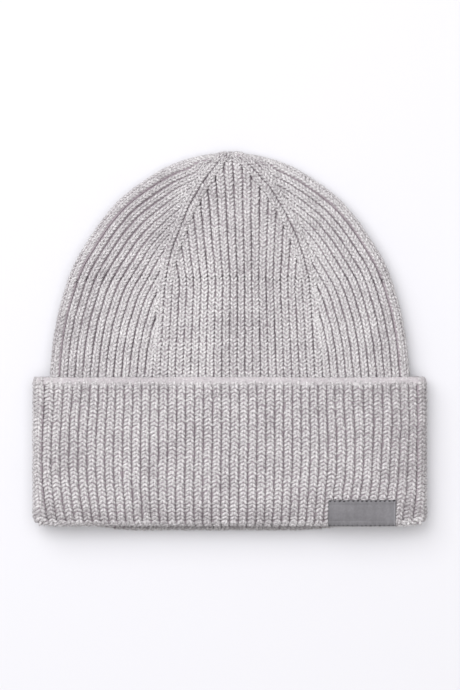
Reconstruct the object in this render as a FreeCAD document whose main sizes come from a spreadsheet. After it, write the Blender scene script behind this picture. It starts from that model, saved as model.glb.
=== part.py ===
import FreeCAD, Part
import os
import Sketcher
from FreeCAD import Vector

# Knit beanie lying flat, turn-up cuff folded up, opening towards -Y and crown towards +Y.
# Millimetres, +Z up off the table, origin at the bottom centre of the bounding box.
# The front layer of the hat is the upper one and the back layer lies on the table.
# The knit is one continuous tube, divided into the zones that keep their own shape:
# the tube, four crown gores, the turned-up cuff (front, back and two sides) and the
# folds that join the cuff to the tube.

# ---------------------------------------------------------------- driving sizes
CELLS = [
    # knit
    ("knit_thickness", 2.9),      # one layer of relaxed 1x1 rib
    ("layer_gap", 0.2),           # air between the cuff and the tube
    ("cavity_height", 5.6),       # head opening with the hat lying flat
    ("clearance", 0.1),           # between neighbouring pieces of knit
    ("small_gap", 0.05),          # under the labels, and round the webs of the side folds
    # cuff
    ("cuff_arm_start", 96.3),     # where the cuff starts to round the side of the tube
    ("cuff_top", -19.1),
    ("cuff_edge_radius", 0.35),
    ("front_fold_edge", -98.3),
    ("back_fold_edge", -101.5),
    ("welt_height", 4.5),         # rolled cast-on edge
    ("web_inward", 5.0),          # web of a side fold, either side of cuff_arm_start
    ("web_outward", 0.5),
    # crown: decrease lines where they start and end; the crown sits a little
    # turned, so one line is nearer the middle
    ("gore_near_base", 34.4),
    ("gore_far_base", 42.5),
    ("gore_near_tip", 2.5),
    ("gore_far_tip", 4.5),
    ("gore_margin", 1.0),         # how far the cutting wedges pass the crown in Y
    ("apex_top", 101.5),
    ("apex_height", 5.5),
    ("yarn_ring_radius", 2.6),
    ("yarn_radius", 0.65),
    # seam inside the centre back
    ("seam_width", 2.4),
    ("seam_height", 0.8),
    ("seam_start", -98.0),
    ("seam_end", 90.0),
    ("seam_end_under", 0.1),      # underside of the crown where the seam ends
    # woven label
    ("label_left", 51.2),
    ("label_right", 88.4),
    ("label_bottom", -98.2),
    ("label_top", -84.8),
    ("label_thickness", 0.6),
    ("label_corner_radius", 0.8),
    # stitches
    ("thread_radius", 0.3),
    ("thread_gap", 0.03),         # air under a stitch
    ("stitch_length", 1.5),
    ("stitch_count", 14.0),
    ("stitch_inset", 0.9),        # from the top and bottom edges of the woven label
    # care label
    ("care_left", 4.0),
    ("care_right", 26.0),
    ("care_bottom", -92.0),
    ("care_top", -62.0),
    ("care_thickness", 0.3),
    ("care_stitch_count", 6.0),
    ("care_stitch_inset", 1.5),
    # reach of the cutting solids, all well outside the hat
    ("side_reach", 120.0),
    ("trim_start", -110.0),
    ("above_top", 30.0),
    ("below_table", -5.0),
    ("fold_reach", 10.0),
]
# Outer sections of the tube and the crown: (place along Y, half width, underside, top)
TUBE = [
    (-98.5, 96.0, 3.1, 14.5),
    (-17.0, 96.0, 3.1, 14.5),
    (0.5, 94.4, 0.2, 14.8),
    (16.5, 91.4, 0.0, 14.8),
    (33.0, 86.5, 0.0, 14.8),
]
CROWN = [
    TUBE[-1],
    (43.0, 82.4, 0.0, 14.8),
    (53.7, 75.8, 0.0, 14.7),
    (64.3, 68.8, 0.0, 14.4),
    (75.0, 59.8, 0.0, 13.7),
    (80.3, 53.4, 0.0, 13.2),
    (85.6, 46.2, 0.0, 12.5),
    (90.9, 38.0, 0.1, 11.7),
    (94.1, 31.9, 0.3, 11.1),
    (97.3, 22.9, 0.8, 10.4),
    (99.4, 14.1, 1.5, 9.8),
    (100.1, 9.0, 2.0, 9.3),
]
for key, stations in (("tube", TUBE), ("crown", CROWN)):
    for k, (y, half_width, underside, top) in enumerate(stations):
        CELLS += [
            (f"{key}_y_{k}_at", y),
            (f"{key}_w_{k}_half", half_width),
            (f"{key}_under_{k}_z", underside),
            (f"{key}_over_{k}_z", top),
        ]
DERIVED = [
    ("total_height", "=4 * knit_thickness + 2 * layer_gap + cavity_height"),
    ("mid_height", "=total_height / 2"),
    ("fold_radius", "=knit_thickness + layer_gap / 2"),
    ("back_wall_low", "=knit_thickness + layer_gap"),
    ("back_wall_high", "=back_wall_low + knit_thickness"),
    ("front_wall_low", "=back_wall_high + cavity_height"),
    ("front_wall_high", "=front_wall_low + knit_thickness"),
    ("front_cuff_low", "=front_wall_high + layer_gap"),
    ("front_hinge_y", "=front_fold_edge + fold_radius"),
    ("back_hinge_y", "=back_fold_edge + fold_radius"),
    ("side_hinge_y", "=(front_hinge_y + back_hinge_y) / 2"),
    ("front_hinge_z", "=front_wall_high + layer_gap / 2"),
    ("back_hinge_z", "=knit_thickness + layer_gap / 2"),
    ("cuff_half_width", "=cuff_arm_start - clearance"),
    ("welt_start", "=cuff_top - welt_height"),
    ("panel_end", "=welt_start - clearance"),
    ("gore_start", "=crown_y_0_at - gore_margin"),
    ("gore_end", f"=crown_y_{len(CROWN) - 1}_at + gore_margin"),
    ("stitch_pitch", "=(label_right - label_left) / (stitch_count + 1)"),
    ("woven_base", "=total_height + small_gap"),
    ("woven_face", "=woven_base + label_thickness"),
    ("care_pitch", "=(care_right - care_left) / care_stitch_count"),
    ("care_base", "=back_wall_high + small_gap"),
    ("care_face", "=care_base + 2.5 * care_thickness"),
]

doc = FreeCAD.newDocument("KnitBeanie")
sheet = doc.addObject("Spreadsheet::Sheet", "Sizes")
cell_texts = [(alias, f"{value:g}") for alias, value in CELLS] + DERIVED
for row, (alias, text) in enumerate(cell_texts, start=1):
    sheet.set(f"A{row}", alias)
    sheet.set(f"B{row}", text)
    sheet.setAlias(f"B{row}", alias)
doc.recompute()
size = {alias: float(getattr(sheet, alias)) for alias, _ in cell_texts}

# Start and end angles of the half circles that bulge towards +X and -X, in radians
RIGHT_ARC = (-1.5707963, 1.5707963)
LEFT_ARC = (1.5707963, 4.7123890)

PARTS = []


# ---------------------------------------------------------------- helpers
def keep(obj, label):
    """Label a finished piece and list it for export."""
    obj.Label = label
    PARTS.append(obj)


def ref(alias):
    """Expression that reads one cell."""
    return f"Sizes.{alias}"


def pair(alias, sign=1):
    """Value of a cell and the expression for it, both with the given sign."""
    return sign * size[alias], ("-" if sign < 0 else "") + ref(alias)


def bind(obj, expressions):
    for path, expression in expressions.items():
        obj.setExpression(path, expression)


def quarter_turn(obj, axis):
    """Turn an object by 90 degrees about the x or y axis."""
    for name in "xyz":
        obj.setExpression(f"Placement.Rotation.Axis.{name}", "1" if name == axis else "0")
    obj.setExpression("Placement.Rotation.Angle", "90")


def box(name, x0, x1, y0, y1, z0, z1):
    """A box between six expressions."""
    block = doc.addObject("Part::Box", name)
    bind(block, {
        "Length": f"({x1}) - ({x0})",
        "Width": f"({y1}) - ({y0})",
        "Height": f"({z1}) - ({z0})",
        "Placement.Base.x": x0,
        "Placement.Base.y": y0,
        "Placement.Base.z": z0,
    })
    return block


def rod(name, radius, length, x, y, z):
    """A cylinder lying along +X from the given place."""
    cylinder = doc.addObject("Part::Cylinder", name)
    bind(cylinder, {
        "Radius": radius,
        "Height": length,
        "Placement.Base.x": x,
        "Placement.Base.y": y,
        "Placement.Base.z": z,
    })
    quarter_turn(cylinder, "y")
    return cylinder


def combine(kind, name, base, tool):
    """A Cut, Common or Fuse of two objects."""
    result = doc.addObject(f"Part::{kind}", name)
    result.Base = base
    result.Tool = tool
    return result


def eased_box(label, x0, x1, y0, y1, z0, z1, axis, radius):
    """A box with its four edges along one axis rounded."""
    block = box(f"{label}_block", x0, x1, y0, y1, z0, z1)
    doc.recompute()
    edges = []
    for number, edge in enumerate(block.Shape.Edges, start=1):
        start, end = (getattr(vertex.Point, axis) for vertex in edge.Vertexes)
        if abs(start - end) > 0.1:
            edges.append((number, radius, radius))
    eased = doc.addObject("Part::Fillet", f"{label}_eased")
    eased.Base = block
    eased.Edges = edges
    keep(eased, label)


def new_body(name):
    return doc.addObject("PartDesign::Body", name)


def new_sketch(body, name, role, offset):
    """A sketch on an origin plane, moved along the plane's normal by an expression.

    The normals are +Z for XY, +X for YZ and -Y for XZ.
    """
    sketch = body.newObject("Sketcher::SketchObject", name)
    base_plane = next(item for item in body.Origin.OriginFeatures if item.Role == role)
    sketch.AttachmentSupport = (base_plane, [""])
    sketch.MapMode = "FlatFace"
    sketch.setExpression(".AttachmentOffset.Base.z", offset)
    return sketch


def pad(body, name, sketch, length):
    feature = body.newObject("PartDesign::Pad", name)
    feature.Profile = sketch
    feature.setExpression("Length", length)
    sketch.Visibility = False


def add_line(sketch, x0, y0, x1, y1):
    sketch.addGeometry(Part.LineSegment(Vector(x0, y0, 0), Vector(x1, y1, 0)), False)


def add_arc(sketch, x, y, radius, angles):
    circle = Part.Circle(Vector(x, y, 0), Vector(0, 0, 1), radius)
    sketch.addGeometry(Part.ArcOfCircle(circle, *angles), False)


def drive(sketch, rows):
    """Add named constraints: (name, constraint arguments, expression)."""
    for name, arguments, expression in rows:
        index = sketch.addConstraint(Sketcher.Constraint(*arguments))
        sketch.renameConstraint(index, name)
        sketch.setExpression(f"Constraints.{name}", expression)


def draw_slot(sketch, left, right, low, high):
    """A slot with its round ends centred at left and right.

    Geometry: 0 low line, 1 right arc, 2 high line, 3 left arc.
    """
    radius = (high - low) / 2
    middle = (high + low) / 2
    add_line(sketch, left, low, right, low)
    add_arc(sketch, right, middle, radius, RIGHT_ARC)
    add_line(sketch, right, high, left, high)
    add_arc(sketch, left, middle, radius, LEFT_ARC)
    constraint = Sketcher.Constraint
    sketch.addConstraint([
        constraint("Tangent", 0, 2, 1, 1),
        constraint("Tangent", 1, 2, 2, 1),
        constraint("Tangent", 2, 2, 3, 1),
        constraint("Tangent", 3, 2, 0, 1),
        constraint("Horizontal", 0),
        constraint("Horizontal", 2),
    ])


def poly_sketch(body, name, role, points, offset):
    """A closed polygon. Each point is (value, expression, value, expression)."""
    sketch = new_sketch(body, name, role, offset)
    count = len(points)
    for k, (x, _, y, _) in enumerate(points):
        following = points[(k + 1) % count]
        add_line(sketch, x, y, following[0], following[2])
    for k in range(count):
        sketch.addConstraint(Sketcher.Constraint("Coincident", k, 2, (k + 1) % count, 1))
    for k, (x, x_expression, y, y_expression) in enumerate(points):
        drive(sketch, [
            (f"px{k}", ("DistanceX", -1, 1, k, 1, x), x_expression),
            (f"py{k}", ("DistanceY", -1, 1, k, 1, y), y_expression),
        ])
    return sketch


# ---------------------------------------------------------------- tube and crown
def section_sketch(body, name, key, k, is_cavity):
    """Section k of the tube or crown, a flat slot; the cavity is one knit layer smaller."""
    inset = size["knit_thickness"] if is_cavity else 0.0
    less = f" - {ref('knit_thickness')}" if is_cavity else ""
    more = f" + {ref('knit_thickness')}" if is_cavity else ""
    half = ref(f"{key}_w_{k}_half") + less
    under = ref(f"{key}_under_{k}_z") + more
    over = ref(f"{key}_over_{k}_z") + less
    low = size[f"{key}_under_{k}_z"] + inset
    high = size[f"{key}_over_{k}_z"] - inset
    straight = size[f"{key}_w_{k}_half"] - inset - (high - low) / 2
    straight_expression = f"({half}) - (({over}) - ({under})) / 2"

    sketch = new_sketch(body, name, "XZ_Plane", f"-({ref(f'{key}_y_{k}_at')})")
    draw_slot(sketch, -straight, straight, low, high)
    drive(sketch, [
        ("low", ("DistanceY", -1, 1, 0, 1, low), under),
        ("high", ("DistanceY", -1, 1, 2, 1, high), over),
        ("right", ("DistanceX", -1, 1, 0, 2, straight), straight_expression),
        ("left", ("DistanceX", 0, 1, -1, 1, straight), straight_expression),
    ])
    return sketch


def ruled_loft(body, kind, name, sketches):
    doc.recompute()
    loft = body.newObject(f"PartDesign::{kind}", name)
    loft.Profile = sketches[0]
    loft.Sections = sketches[1:]
    loft.Ruled = True
    doc.recompute()
    return loft.Shape.Volume


def loft_body(name, key, outer_count, cavity_count):
    """A hollow shell: the outer loft, then the cavity lofted out of it."""
    body = new_body(name)
    outer = [
        section_sketch(body, f"{name}_outer_{k}", key, k, False) for k in range(outer_count)
    ]
    full = ruled_loft(body, "AdditiveLoft", f"{name}_skin", outer)
    inner = [
        section_sketch(body, f"{name}_inner_{k}", key, k, True) for k in range(cavity_count)
    ]
    hollow = ruled_loft(body, "SubtractiveLoft", f"{name}_cavity", inner)
    if not hollow < full * 0.9:
        raise RuntimeError(f"{name}: the cavity removed nothing")
    return body


def knit_tube():
    """The tube from the folds up to where the crown starts.

    The front layer ends a little short, so the back fold shows below the front one.
    """
    shell = loft_body("tube_shell", "tube", len(TUBE), len(TUBE))
    trim = box(
        "front_trim", f"-{ref('side_reach')}", ref("side_reach"),
        ref("trim_start"), ref("front_hinge_y"), ref("mid_height"), ref("above_top"),
    )
    keep(combine("Cut", "knit_tube_cut", shell, trim), "knit_tube")


UPPER = (ref("mid_height"), ref("above_top"))
LOWER = (ref("below_table"), ref("mid_height"))


def line_ends(side, line):
    """Base and tip of the near or far decrease line; side is -1 for left, 1 for right."""
    return [
        pair(f"gore_{line}_base", side) + pair("gore_start"),
        pair(f"gore_{line}_tip", side) + pair("gore_end"),
    ]


def centre_outline(left_line, right_line):
    """Between two decrease lines."""
    left_base, left_tip = line_ends(-1, left_line)
    right_base, right_tip = line_ends(1, right_line)
    return [left_base, right_base, right_tip, left_tip]


def side_outline(side, line):
    """From a decrease line out past the side of the crown."""
    reach = pair("side_reach", side)
    return line_ends(side, line) + [reach + pair("gore_end"), reach + pair("gore_start")]


def crown_piece(shell, name, outline, layer):
    """The part of the crown inside an outline, in the upper or lower layer."""
    low, high = layer
    wedge = new_body(f"{name}_wedge")
    sketch = poly_sketch(wedge, f"{name}_wedge_outline", "XY_Plane", outline, low)
    pad(wedge, f"{name}_wedge_pad", sketch, f"({high}) - ({low})")
    return combine("Common", name, shell, wedge)


def crown():
    """Four gores that meet at the apex. The cavity stops two sections short of it."""
    shell = loft_body("crown_shell", "crown", len(CROWN), len(CROWN) - 2)
    for word, left_line, right_line, layer in (
        ("front", "near", "far", UPPER),
        ("back", "far", "near", LOWER),
    ):
        outline = centre_outline(left_line, right_line)
        keep(crown_piece(shell, f"gore_{word}", outline, layer), f"crown_gore_{word}")
    for word, side, upper_line, lower_line in (
        ("left", -1, "near", "far"),
        ("right", 1, "far", "near"),
    ):
        name = f"gore_{word}"
        upper = crown_piece(shell, f"{name}_upper", side_outline(side, upper_line), UPPER)
        lower = crown_piece(shell, f"{name}_lower", side_outline(side, lower_line), LOWER)
        keep(combine("Fuse", name, upper, lower), f"crown_gore_{word}")


def closing_yarn():
    """Yarn drawn tight round the last stitches at the apex."""
    ring = doc.addObject("Part::Torus", "closing_ring")
    bind(ring, {
        "Radius1": ref("yarn_ring_radius"),
        "Radius2": ref("yarn_radius"),
        "Placement.Base.y": f"{ref('apex_top')} - {ref('yarn_radius')}",
        "Placement.Base.z": ref("apex_height"),
    })
    quarter_turn(ring, "x")
    keep(ring, "crown_closing_yarn")


def back_seam():
    """Linking seam up the inside of the centre back, following the cavity floor."""
    # cells for the place along Y and the underside of the knit there
    floor = [("seam_start", "tube_under_0_z")]
    floor += [(f"tube_y_{k}_at", f"tube_under_{k}_z") for k in range(1, len(TUBE))]
    floor += [("seam_end", "seam_end_under")]

    def raised(*lifts):
        points = []
        for place, under in floor:
            heights = (under, *lifts)
            z = sum(size[alias] for alias in heights)
            points.append(pair(place) + (z, " + ".join(ref(alias) for alias in heights)))
        return points

    low_side = raised("knit_thickness", "clearance")
    high_side = raised("knit_thickness", "clearance", "seam_height")
    body = new_body("seam_body")
    sketch = poly_sketch(
        body, "seam_outline", "YZ_Plane", low_side + high_side[::-1],
        f"-{ref('seam_width')} / 2",
    )
    pad(body, "seam_pad", sketch, ref("seam_width"))
    keep(body, "centre_back_seam")


# ---------------------------------------------------------------- cuff
def cuff_panel(word, hinge_y, low, high):
    """The flat front or back of the cuff, its left and right ends eased."""
    eased_box(
        f"cuff_{word}", f"-{ref('cuff_half_width')}", ref("cuff_half_width"),
        f"{hinge_y} + {ref('clearance')}", ref("panel_end"), low, high,
        "y", size["cuff_edge_radius"],
    )


def flat_welt(word, on_table):
    """The rolled cast-on edge across the front or back, as deep as the knit is thick."""
    label = f"cuff_welt_{word}"
    body = new_body(f"{label}_body")
    sketch = new_sketch(body, f"{label}_oval", "YZ_Plane", f"-{ref('cuff_half_width')}")
    radius = size["knit_thickness"] / 2
    near = size["welt_start"] + radius
    far = size["cuff_top"] - radius
    low = 0.0 if on_table else size["front_cuff_low"]
    high = low + size["knit_thickness"]
    low_expression = "0" if on_table else ref("front_cuff_low")
    half_knit = f"{ref('knit_thickness')} / 2"
    draw_slot(sketch, near, far, low, high)
    rows = [
        ("top", ("DistanceY", -1, 1, 2, 1, high),
         f"{low_expression} + {ref('knit_thickness')}"),
        ("far", ("DistanceX", 1, 3, -1, 1, -far), f"-({ref('cuff_top')} - {half_knit})"),
        ("near", ("DistanceX", 3, 3, -1, 1, -near), f"-({ref('welt_start')} + {half_knit})"),
    ]
    if on_table:
        sketch.addConstraint(Sketcher.Constraint("PointOnObject", 0, 1, -1))
    else:
        rows.append(("bottom", ("DistanceY", -1, 1, 0, 1, low), low_expression))
    drive(sketch, rows)
    pad(body, f"{label}_pad", sketch, f"2 * {ref('cuff_half_width')}")
    keep(body, label)


def side_arc(sketch, side, radius):
    """A half circle round the side of the tube, bulging away from it."""
    angles = RIGHT_ARC if side > 0 else LEFT_ARC
    add_arc(sketch, side * size["cuff_arm_start"], size["mid_height"], radius, angles)


def side_arc_rows(side):
    """Constraints that place and size geometry 0, the outer half circle."""
    arm, middle = size["cuff_arm_start"], size["mid_height"]
    if side > 0:
        across = ("DistanceX", -1, 1, 0, 3, arm)
    else:
        across = ("DistanceX", 0, 3, -1, 1, arm)
    return [
        ("centre_x", across, ref("cuff_arm_start")),
        ("centre_z", ("DistanceY", -1, 1, 0, 3, middle), ref("mid_height")),
        ("outer", ("Radius", 0, middle), ref("mid_height")),
    ]


def side_strip(name, label, side, y_start, y_end):
    """A half-round strip along Y whose open side faces the tube."""
    body = new_body(name)
    sketch = new_sketch(body, f"{name}_hook", "XZ_Plane", f"-({y_end})")
    x, z = side * size["cuff_arm_start"], size["mid_height"]
    outer = size["mid_height"]
    inner = outer - size["knit_thickness"]
    side_arc(sketch, side, outer)
    side_arc(sketch, side, inner)
    # the arcs start at the bottom on the right and at the top on the left
    for end in (-side, side):
        add_line(sketch, x, z + end * outer, x, z + end * inner)
    constraint = Sketcher.Constraint
    sketch.addConstraint([
        constraint("Coincident", 0, 1, 2, 1),
        constraint("Coincident", 1, 1, 2, 2),
        constraint("Coincident", 0, 2, 3, 1),
        constraint("Coincident", 1, 2, 3, 2),
        constraint("Vertical", 2),
        constraint("Vertical", 3),
        constraint("Coincident", 0, 3, 1, 3),
        constraint("PointOnObject", 0, 3, 2),
    ])
    drive(sketch, side_arc_rows(side) + [
        ("inner", ("Radius", 1, inner), f"{ref('mid_height')} - {ref('knit_thickness')}"),
    ])
    pad(body, f"{name}_pad", sketch, f"({y_end}) - ({y_start})")
    keep(body, label)


def flat_fold(word):
    """The bend under the front or back: half a thick ring, open towards the crown."""
    label = f"cuff_fold_{word}"
    half_x = ref("cuff_half_width")
    y, z = ref(f"{word}_hinge_y"), ref(f"{word}_hinge_z")
    outer, core = (
        rod(f"{label}_{name}", radius, f"2 * {half_x}", f"-{half_x}", y, z)
        for name, radius in (
            ("outer", ref("fold_radius")),
            ("core", f"{ref('layer_gap')} / 2"),
        )
    )
    ring = combine("Cut", f"{label}_ring", outer, core)
    reach = ref("fold_reach")
    crown_half = box(
        f"{label}_far", f"-{ref('side_reach')}", ref("side_reach"),
        y, f"{y} + {reach}", f"{z} - {reach}", f"{z} + {reach}",
    )
    keep(combine("Cut", f"{label}_cut", ring, crown_half), label)


def side_fold(word, side):
    """The bend at one side, a half disc with a web reaching in between the walls."""
    label = f"cuff_fold_{word}"
    cap = new_body(f"{label}_cap")
    sketch = new_sketch(
        cap, f"{label}_half_disc", "XZ_Plane",
        f"-({ref('side_hinge_y')} - {ref('clearance')})",
    )
    x, z = side * size["cuff_arm_start"], size["mid_height"]
    radius = size["mid_height"]
    side_arc(sketch, side, radius)
    add_line(sketch, x, z - side * -radius, x, z + side * -radius)
    constraint = Sketcher.Constraint
    sketch.addConstraint([
        constraint("Coincident", 0, 2, 1, 1),
        constraint("Coincident", 1, 2, 0, 1),
        constraint("Vertical", 1),
        constraint("PointOnObject", 0, 3, 1),
    ])
    drive(sketch, side_arc_rows(side))
    pad(cap, f"{label}_pad", sketch, f"{ref('fold_radius')} - {ref('clearance')}")

    inward = f"{ref('cuff_arm_start')} - {ref('web_inward')}"
    outward = f"{ref('cuff_arm_start')} + {ref('web_outward')}"
    x0, x1 = (inward, outward) if side > 0 else (f"-({outward})", f"-({inward})")
    web = box(
        f"{label}_web", x0, x1,
        f"{ref('side_hinge_y')} - {ref('fold_radius')}",
        f"{ref('back_hinge_y')} - {ref('clearance')}",
        f"{ref('back_wall_high')} + {ref('small_gap')}",
        f"{ref('front_wall_low')} - {ref('small_gap')}",
    )
    keep(combine("Fuse", f"{label}_joined", cap, web), label)


def cuff():
    cuff_panel("front", ref("front_hinge_y"), ref("front_cuff_low"), ref("total_height"))
    cuff_panel("back", ref("back_hinge_y"), "0", ref("knit_thickness"))
    flat_welt("front", on_table=False)
    flat_welt("back", on_table=True)
    sides = (("left", -1), ("right", 1))
    for word, side in sides:
        side_strip(
            f"side_{word}_body", f"cuff_side_{word}", side,
            f"{ref('side_hinge_y')} + {ref('clearance')}", ref("panel_end"),
        )
        side_strip(
            f"side_welt_{word}_body", f"cuff_welt_{word}", side,
            ref("welt_start"), ref("cuff_top"),
        )
    flat_fold("front")
    flat_fold("back")
    for word, side in sides:
        side_fold(word, side)


# ---------------------------------------------------------------- labels
def stitches(label, centres, y, face):
    """A row of separate thread stitches lying along X on a face."""
    z = f"{face} + {ref('thread_radius')} + {ref('thread_gap')}"
    group = doc.addObject("Part::Compound", f"{label}_group")
    group.Links = [
        rod(
            f"{label}_{k}", ref("thread_radius"), ref("stitch_length"),
            f"{centre} - {ref('stitch_length')} / 2", y, z,
        )
        for k, centre in enumerate(centres)
    ]
    keep(group, label)


def woven_label():
    """Label sewn on the front of the cuff at its lower edge."""
    eased_box(
        "woven_label", ref("label_left"), ref("label_right"),
        ref("label_bottom"), ref("label_top"), ref("woven_base"), ref("woven_face"),
        "z", size["label_corner_radius"],
    )
    centres = [
        f"{ref('label_left')} + {ref('stitch_pitch')} * {k + 1}"
        for k in range(int(size["stitch_count"]))
    ]
    for edge, sign in (("top", "-"), ("bottom", "+")):
        y = f"{ref(f'label_{edge}')} {sign} {ref('stitch_inset')}"
        stitches(f"label_stitches_{edge}", centres, y, ref("woven_face"))


def care_label():
    """Folded satin label inside, beside the centre back seam, stitched along its top."""
    left, right = ref("care_left"), ref("care_right")
    bottom, top = ref("care_bottom"), ref("care_top")
    base, face, thickness = ref("care_base"), ref("care_face"), ref("care_thickness")
    low_leaf = box("care_low", left, right, bottom, top, base, f"{base} + {thickness}")
    high_leaf = box(
        "care_high", left, right, bottom, top, f"{base} + 1.5 * {thickness}", face
    )
    bend = box("care_bend", left, right, bottom, f"{bottom} + {thickness}", base, face)
    folded = doc.addObject("Part::MultiFuse", "care_fold")
    folded.Shapes = [low_leaf, high_leaf, bend]
    keep(folded, "care_label")
    centres = [
        f"{left} + {ref('care_pitch')} * {k + 0.5}"
        for k in range(int(size["care_stitch_count"]))
    ]
    stitches("care_label_stitches", centres, f"{top} - {ref('care_stitch_inset')}", face)


# ---------------------------------------------------------------- build and export
knit_tube()
crown()
closing_yarn()
back_seam()
cuff()
woven_label()
care_label()
doc.recompute()

problems = [
    f"{obj.Name}: {obj.State}"
    for obj in doc.Objects
    if "Invalid" in obj.State or "Error" in obj.State
]
for part in PARTS:
    shape = part.Shape
    if shape.isNull() or not shape.isValid() or shape.Volume <= 0:
        problems.append(f"{part.Label}: bad shape")
if problems:
    raise RuntimeError("; ".join(problems))

os.makedirs("parts", exist_ok=True)
for part in PARTS:
    part.Shape.exportStep(f"parts/{part.Label}.step")
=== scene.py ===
"""A ribbed wool hat with a turned-up cuff, lying flat on its back.

Frame: +X is right, +Y runs from the cuff's fold to the crown's tip, and +Z rises from the back
face to the front one. Every rib is a flattened cord that carries a row of two-legged stitches.
Lengths are millimetres until a mesh is made; lights, floor and camera are in metres.
Throughout, side is 1 for front and -1 for back, and hand is -1 for left and 1 for right.
"""

from typing import NamedTuple

import bpy
import numpy as np
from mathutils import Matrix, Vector


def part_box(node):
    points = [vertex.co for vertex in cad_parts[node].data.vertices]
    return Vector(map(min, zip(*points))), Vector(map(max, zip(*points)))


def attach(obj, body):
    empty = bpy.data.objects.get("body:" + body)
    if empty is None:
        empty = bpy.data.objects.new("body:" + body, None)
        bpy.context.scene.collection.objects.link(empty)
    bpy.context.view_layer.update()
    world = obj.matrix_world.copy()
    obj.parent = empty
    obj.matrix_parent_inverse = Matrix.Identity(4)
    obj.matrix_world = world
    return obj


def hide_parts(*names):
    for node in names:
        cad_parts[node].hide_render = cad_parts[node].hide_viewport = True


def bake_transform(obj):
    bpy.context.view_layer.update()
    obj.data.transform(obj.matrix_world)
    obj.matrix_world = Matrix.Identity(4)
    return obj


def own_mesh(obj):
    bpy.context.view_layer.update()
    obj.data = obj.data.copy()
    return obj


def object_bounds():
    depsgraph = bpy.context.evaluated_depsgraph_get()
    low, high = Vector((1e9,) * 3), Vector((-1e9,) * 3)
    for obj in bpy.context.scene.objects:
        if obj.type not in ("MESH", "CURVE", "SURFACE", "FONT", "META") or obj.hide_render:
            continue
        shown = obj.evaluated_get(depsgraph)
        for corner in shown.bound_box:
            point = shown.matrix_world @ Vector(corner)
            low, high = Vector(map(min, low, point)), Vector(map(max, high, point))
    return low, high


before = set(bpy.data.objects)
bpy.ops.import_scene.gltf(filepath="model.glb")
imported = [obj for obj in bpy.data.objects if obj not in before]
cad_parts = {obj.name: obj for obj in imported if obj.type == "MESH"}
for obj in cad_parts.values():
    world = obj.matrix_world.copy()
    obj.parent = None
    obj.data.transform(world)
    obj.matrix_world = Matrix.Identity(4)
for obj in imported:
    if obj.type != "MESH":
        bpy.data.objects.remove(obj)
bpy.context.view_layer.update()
rng = np.random.default_rng(20)

SIDES = ((1, "front"), (-1, "back"))
HANDS = ((-1, "left"), (1, "right"))


# ---------------------------------------------------------------- driving dimensions

def node_box(name):
    """Low and high corner of a CAD piece."""
    low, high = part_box(name)
    return np.array(low) * 1000.0, np.array(high) * 1000.0


FRONT_CUFF = node_box("cuff_front")
BACK_CUFF = node_box("cuff_back")
WELT = node_box("cuff_welt_front")
LEFT_SIDE = node_box("cuff_side_left")
FOLD = {side: node_box(f"cuff_fold_{word}") for side, word in SIDES}

LAYER = BACK_CUFF[1][2]            # one knit layer
HALF_LAYER = LAYER / 2
Z_MID = (LEFT_SIDE[0][2] + LEFT_SIDE[1][2]) / 2
FOLD_Y = {side: FOLD[side][1][1] for side, _ in SIDES}        # centres of the bends
FOLD_Z = {side: (FOLD[side][0][2] + FOLD[side][1][2]) / 2 for side, _ in SIDES}
WELT_LOW = WELT[0][1]
WELT_MID = (WELT[1][1] + WELT_LOW) / 2
CUFF_Z = {1: FRONT_CUFF[0][2] + HALF_LAYER, -1: BACK_CUFF[0][2] + HALF_LAYER}  # mid-surface
WALL_Z = {1: FOLD[1][0][2] + HALF_LAYER, -1: FOLD[-1][1][2] - HALF_LAYER}      # the tube's
STAND = 1.4                        # how far stitches stand proud of the mid-surface
CUFF_EDGE = node_box("cuff_side_right")[1][0] - STAND         # half widths of mid-surfaces
TUBE_EDGE = node_box("knit_tube")[1][0] - STAND
TIP_X = 0.6
TIP_Y = node_box("crown_closing_yarn")[1][1] - 2.0
ROW = 2.15                         # one course of stitches
JOIN_Y = -19.0                     # the body's upper ribs meet those under the cuff here


# ---------------------------------------------------------------- numbers and lines

def clamp(value):
    return np.clip(value, 0, 1)


def bell(value, centre, width):
    return np.exp(-((value - centre) / width) ** 2)


def smooth_noise(x, y, cell, seed):
    """Cheap repeatable value noise in two dimensions, about -1 to 1."""
    x = np.asarray(x, float) / cell
    y = np.asarray(y, float) / cell
    column, row = np.floor(x).astype(int), np.floor(y).astype(int)
    right, up = x - column, y - row
    right, up = right * right * (3 - 2 * right), up * up * (3 - 2 * up)

    def corner(i, j):
        value = np.sin(i * 127.1 + j * 311.7 + seed * 74.7) * 43758.5453
        return (value - np.floor(value)) * 2 - 1

    return (
        corner(column, row) * (1 - right) * (1 - up)
        + corner(column + 1, row) * right * (1 - up)
        + corner(column, row + 1) * (1 - right) * up
        + corner(column + 1, row + 1) * right * up
    )


def xyz(x, y, z):
    """Points from coordinates, any of which may be a single number."""
    return np.stack(np.broadcast_arrays(x, y, z), -1)


def unit(vectors):
    return vectors / np.linalg.norm(vectors, axis=-1, keepdims=True)


def tangents(line):
    return unit(np.gradient(line, axis=0))


def inward(line):
    """Unit normals to the left of a flat line: inwards, for a right-hand edge running up."""
    return tangents(line)[:, ::-1] * (-1, 1)


def arc_length(line):
    return np.concatenate([[0], np.cumsum(np.linalg.norm(np.diff(line, axis=0), axis=1))])


def interp_columns(at, stations, table):
    return np.stack([np.interp(at, stations, column) for column in table.T], 1)


def evenly(line, count):
    """Points at even steps along a line."""
    length = arc_length(line)
    return interp_columns(np.linspace(0, 1, count) * length[-1], length, line)


def gaussian(sigma, reach):
    steps = np.arange(-reach, reach + 1)
    kernel = np.exp(-steps * steps / (2.0 * sigma * sigma))
    return kernel / kernel.sum()


def smoothed(values, kernel):
    return np.convolve(np.pad(values, len(kernel) // 2, "edge"), kernel, "valid")


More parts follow.
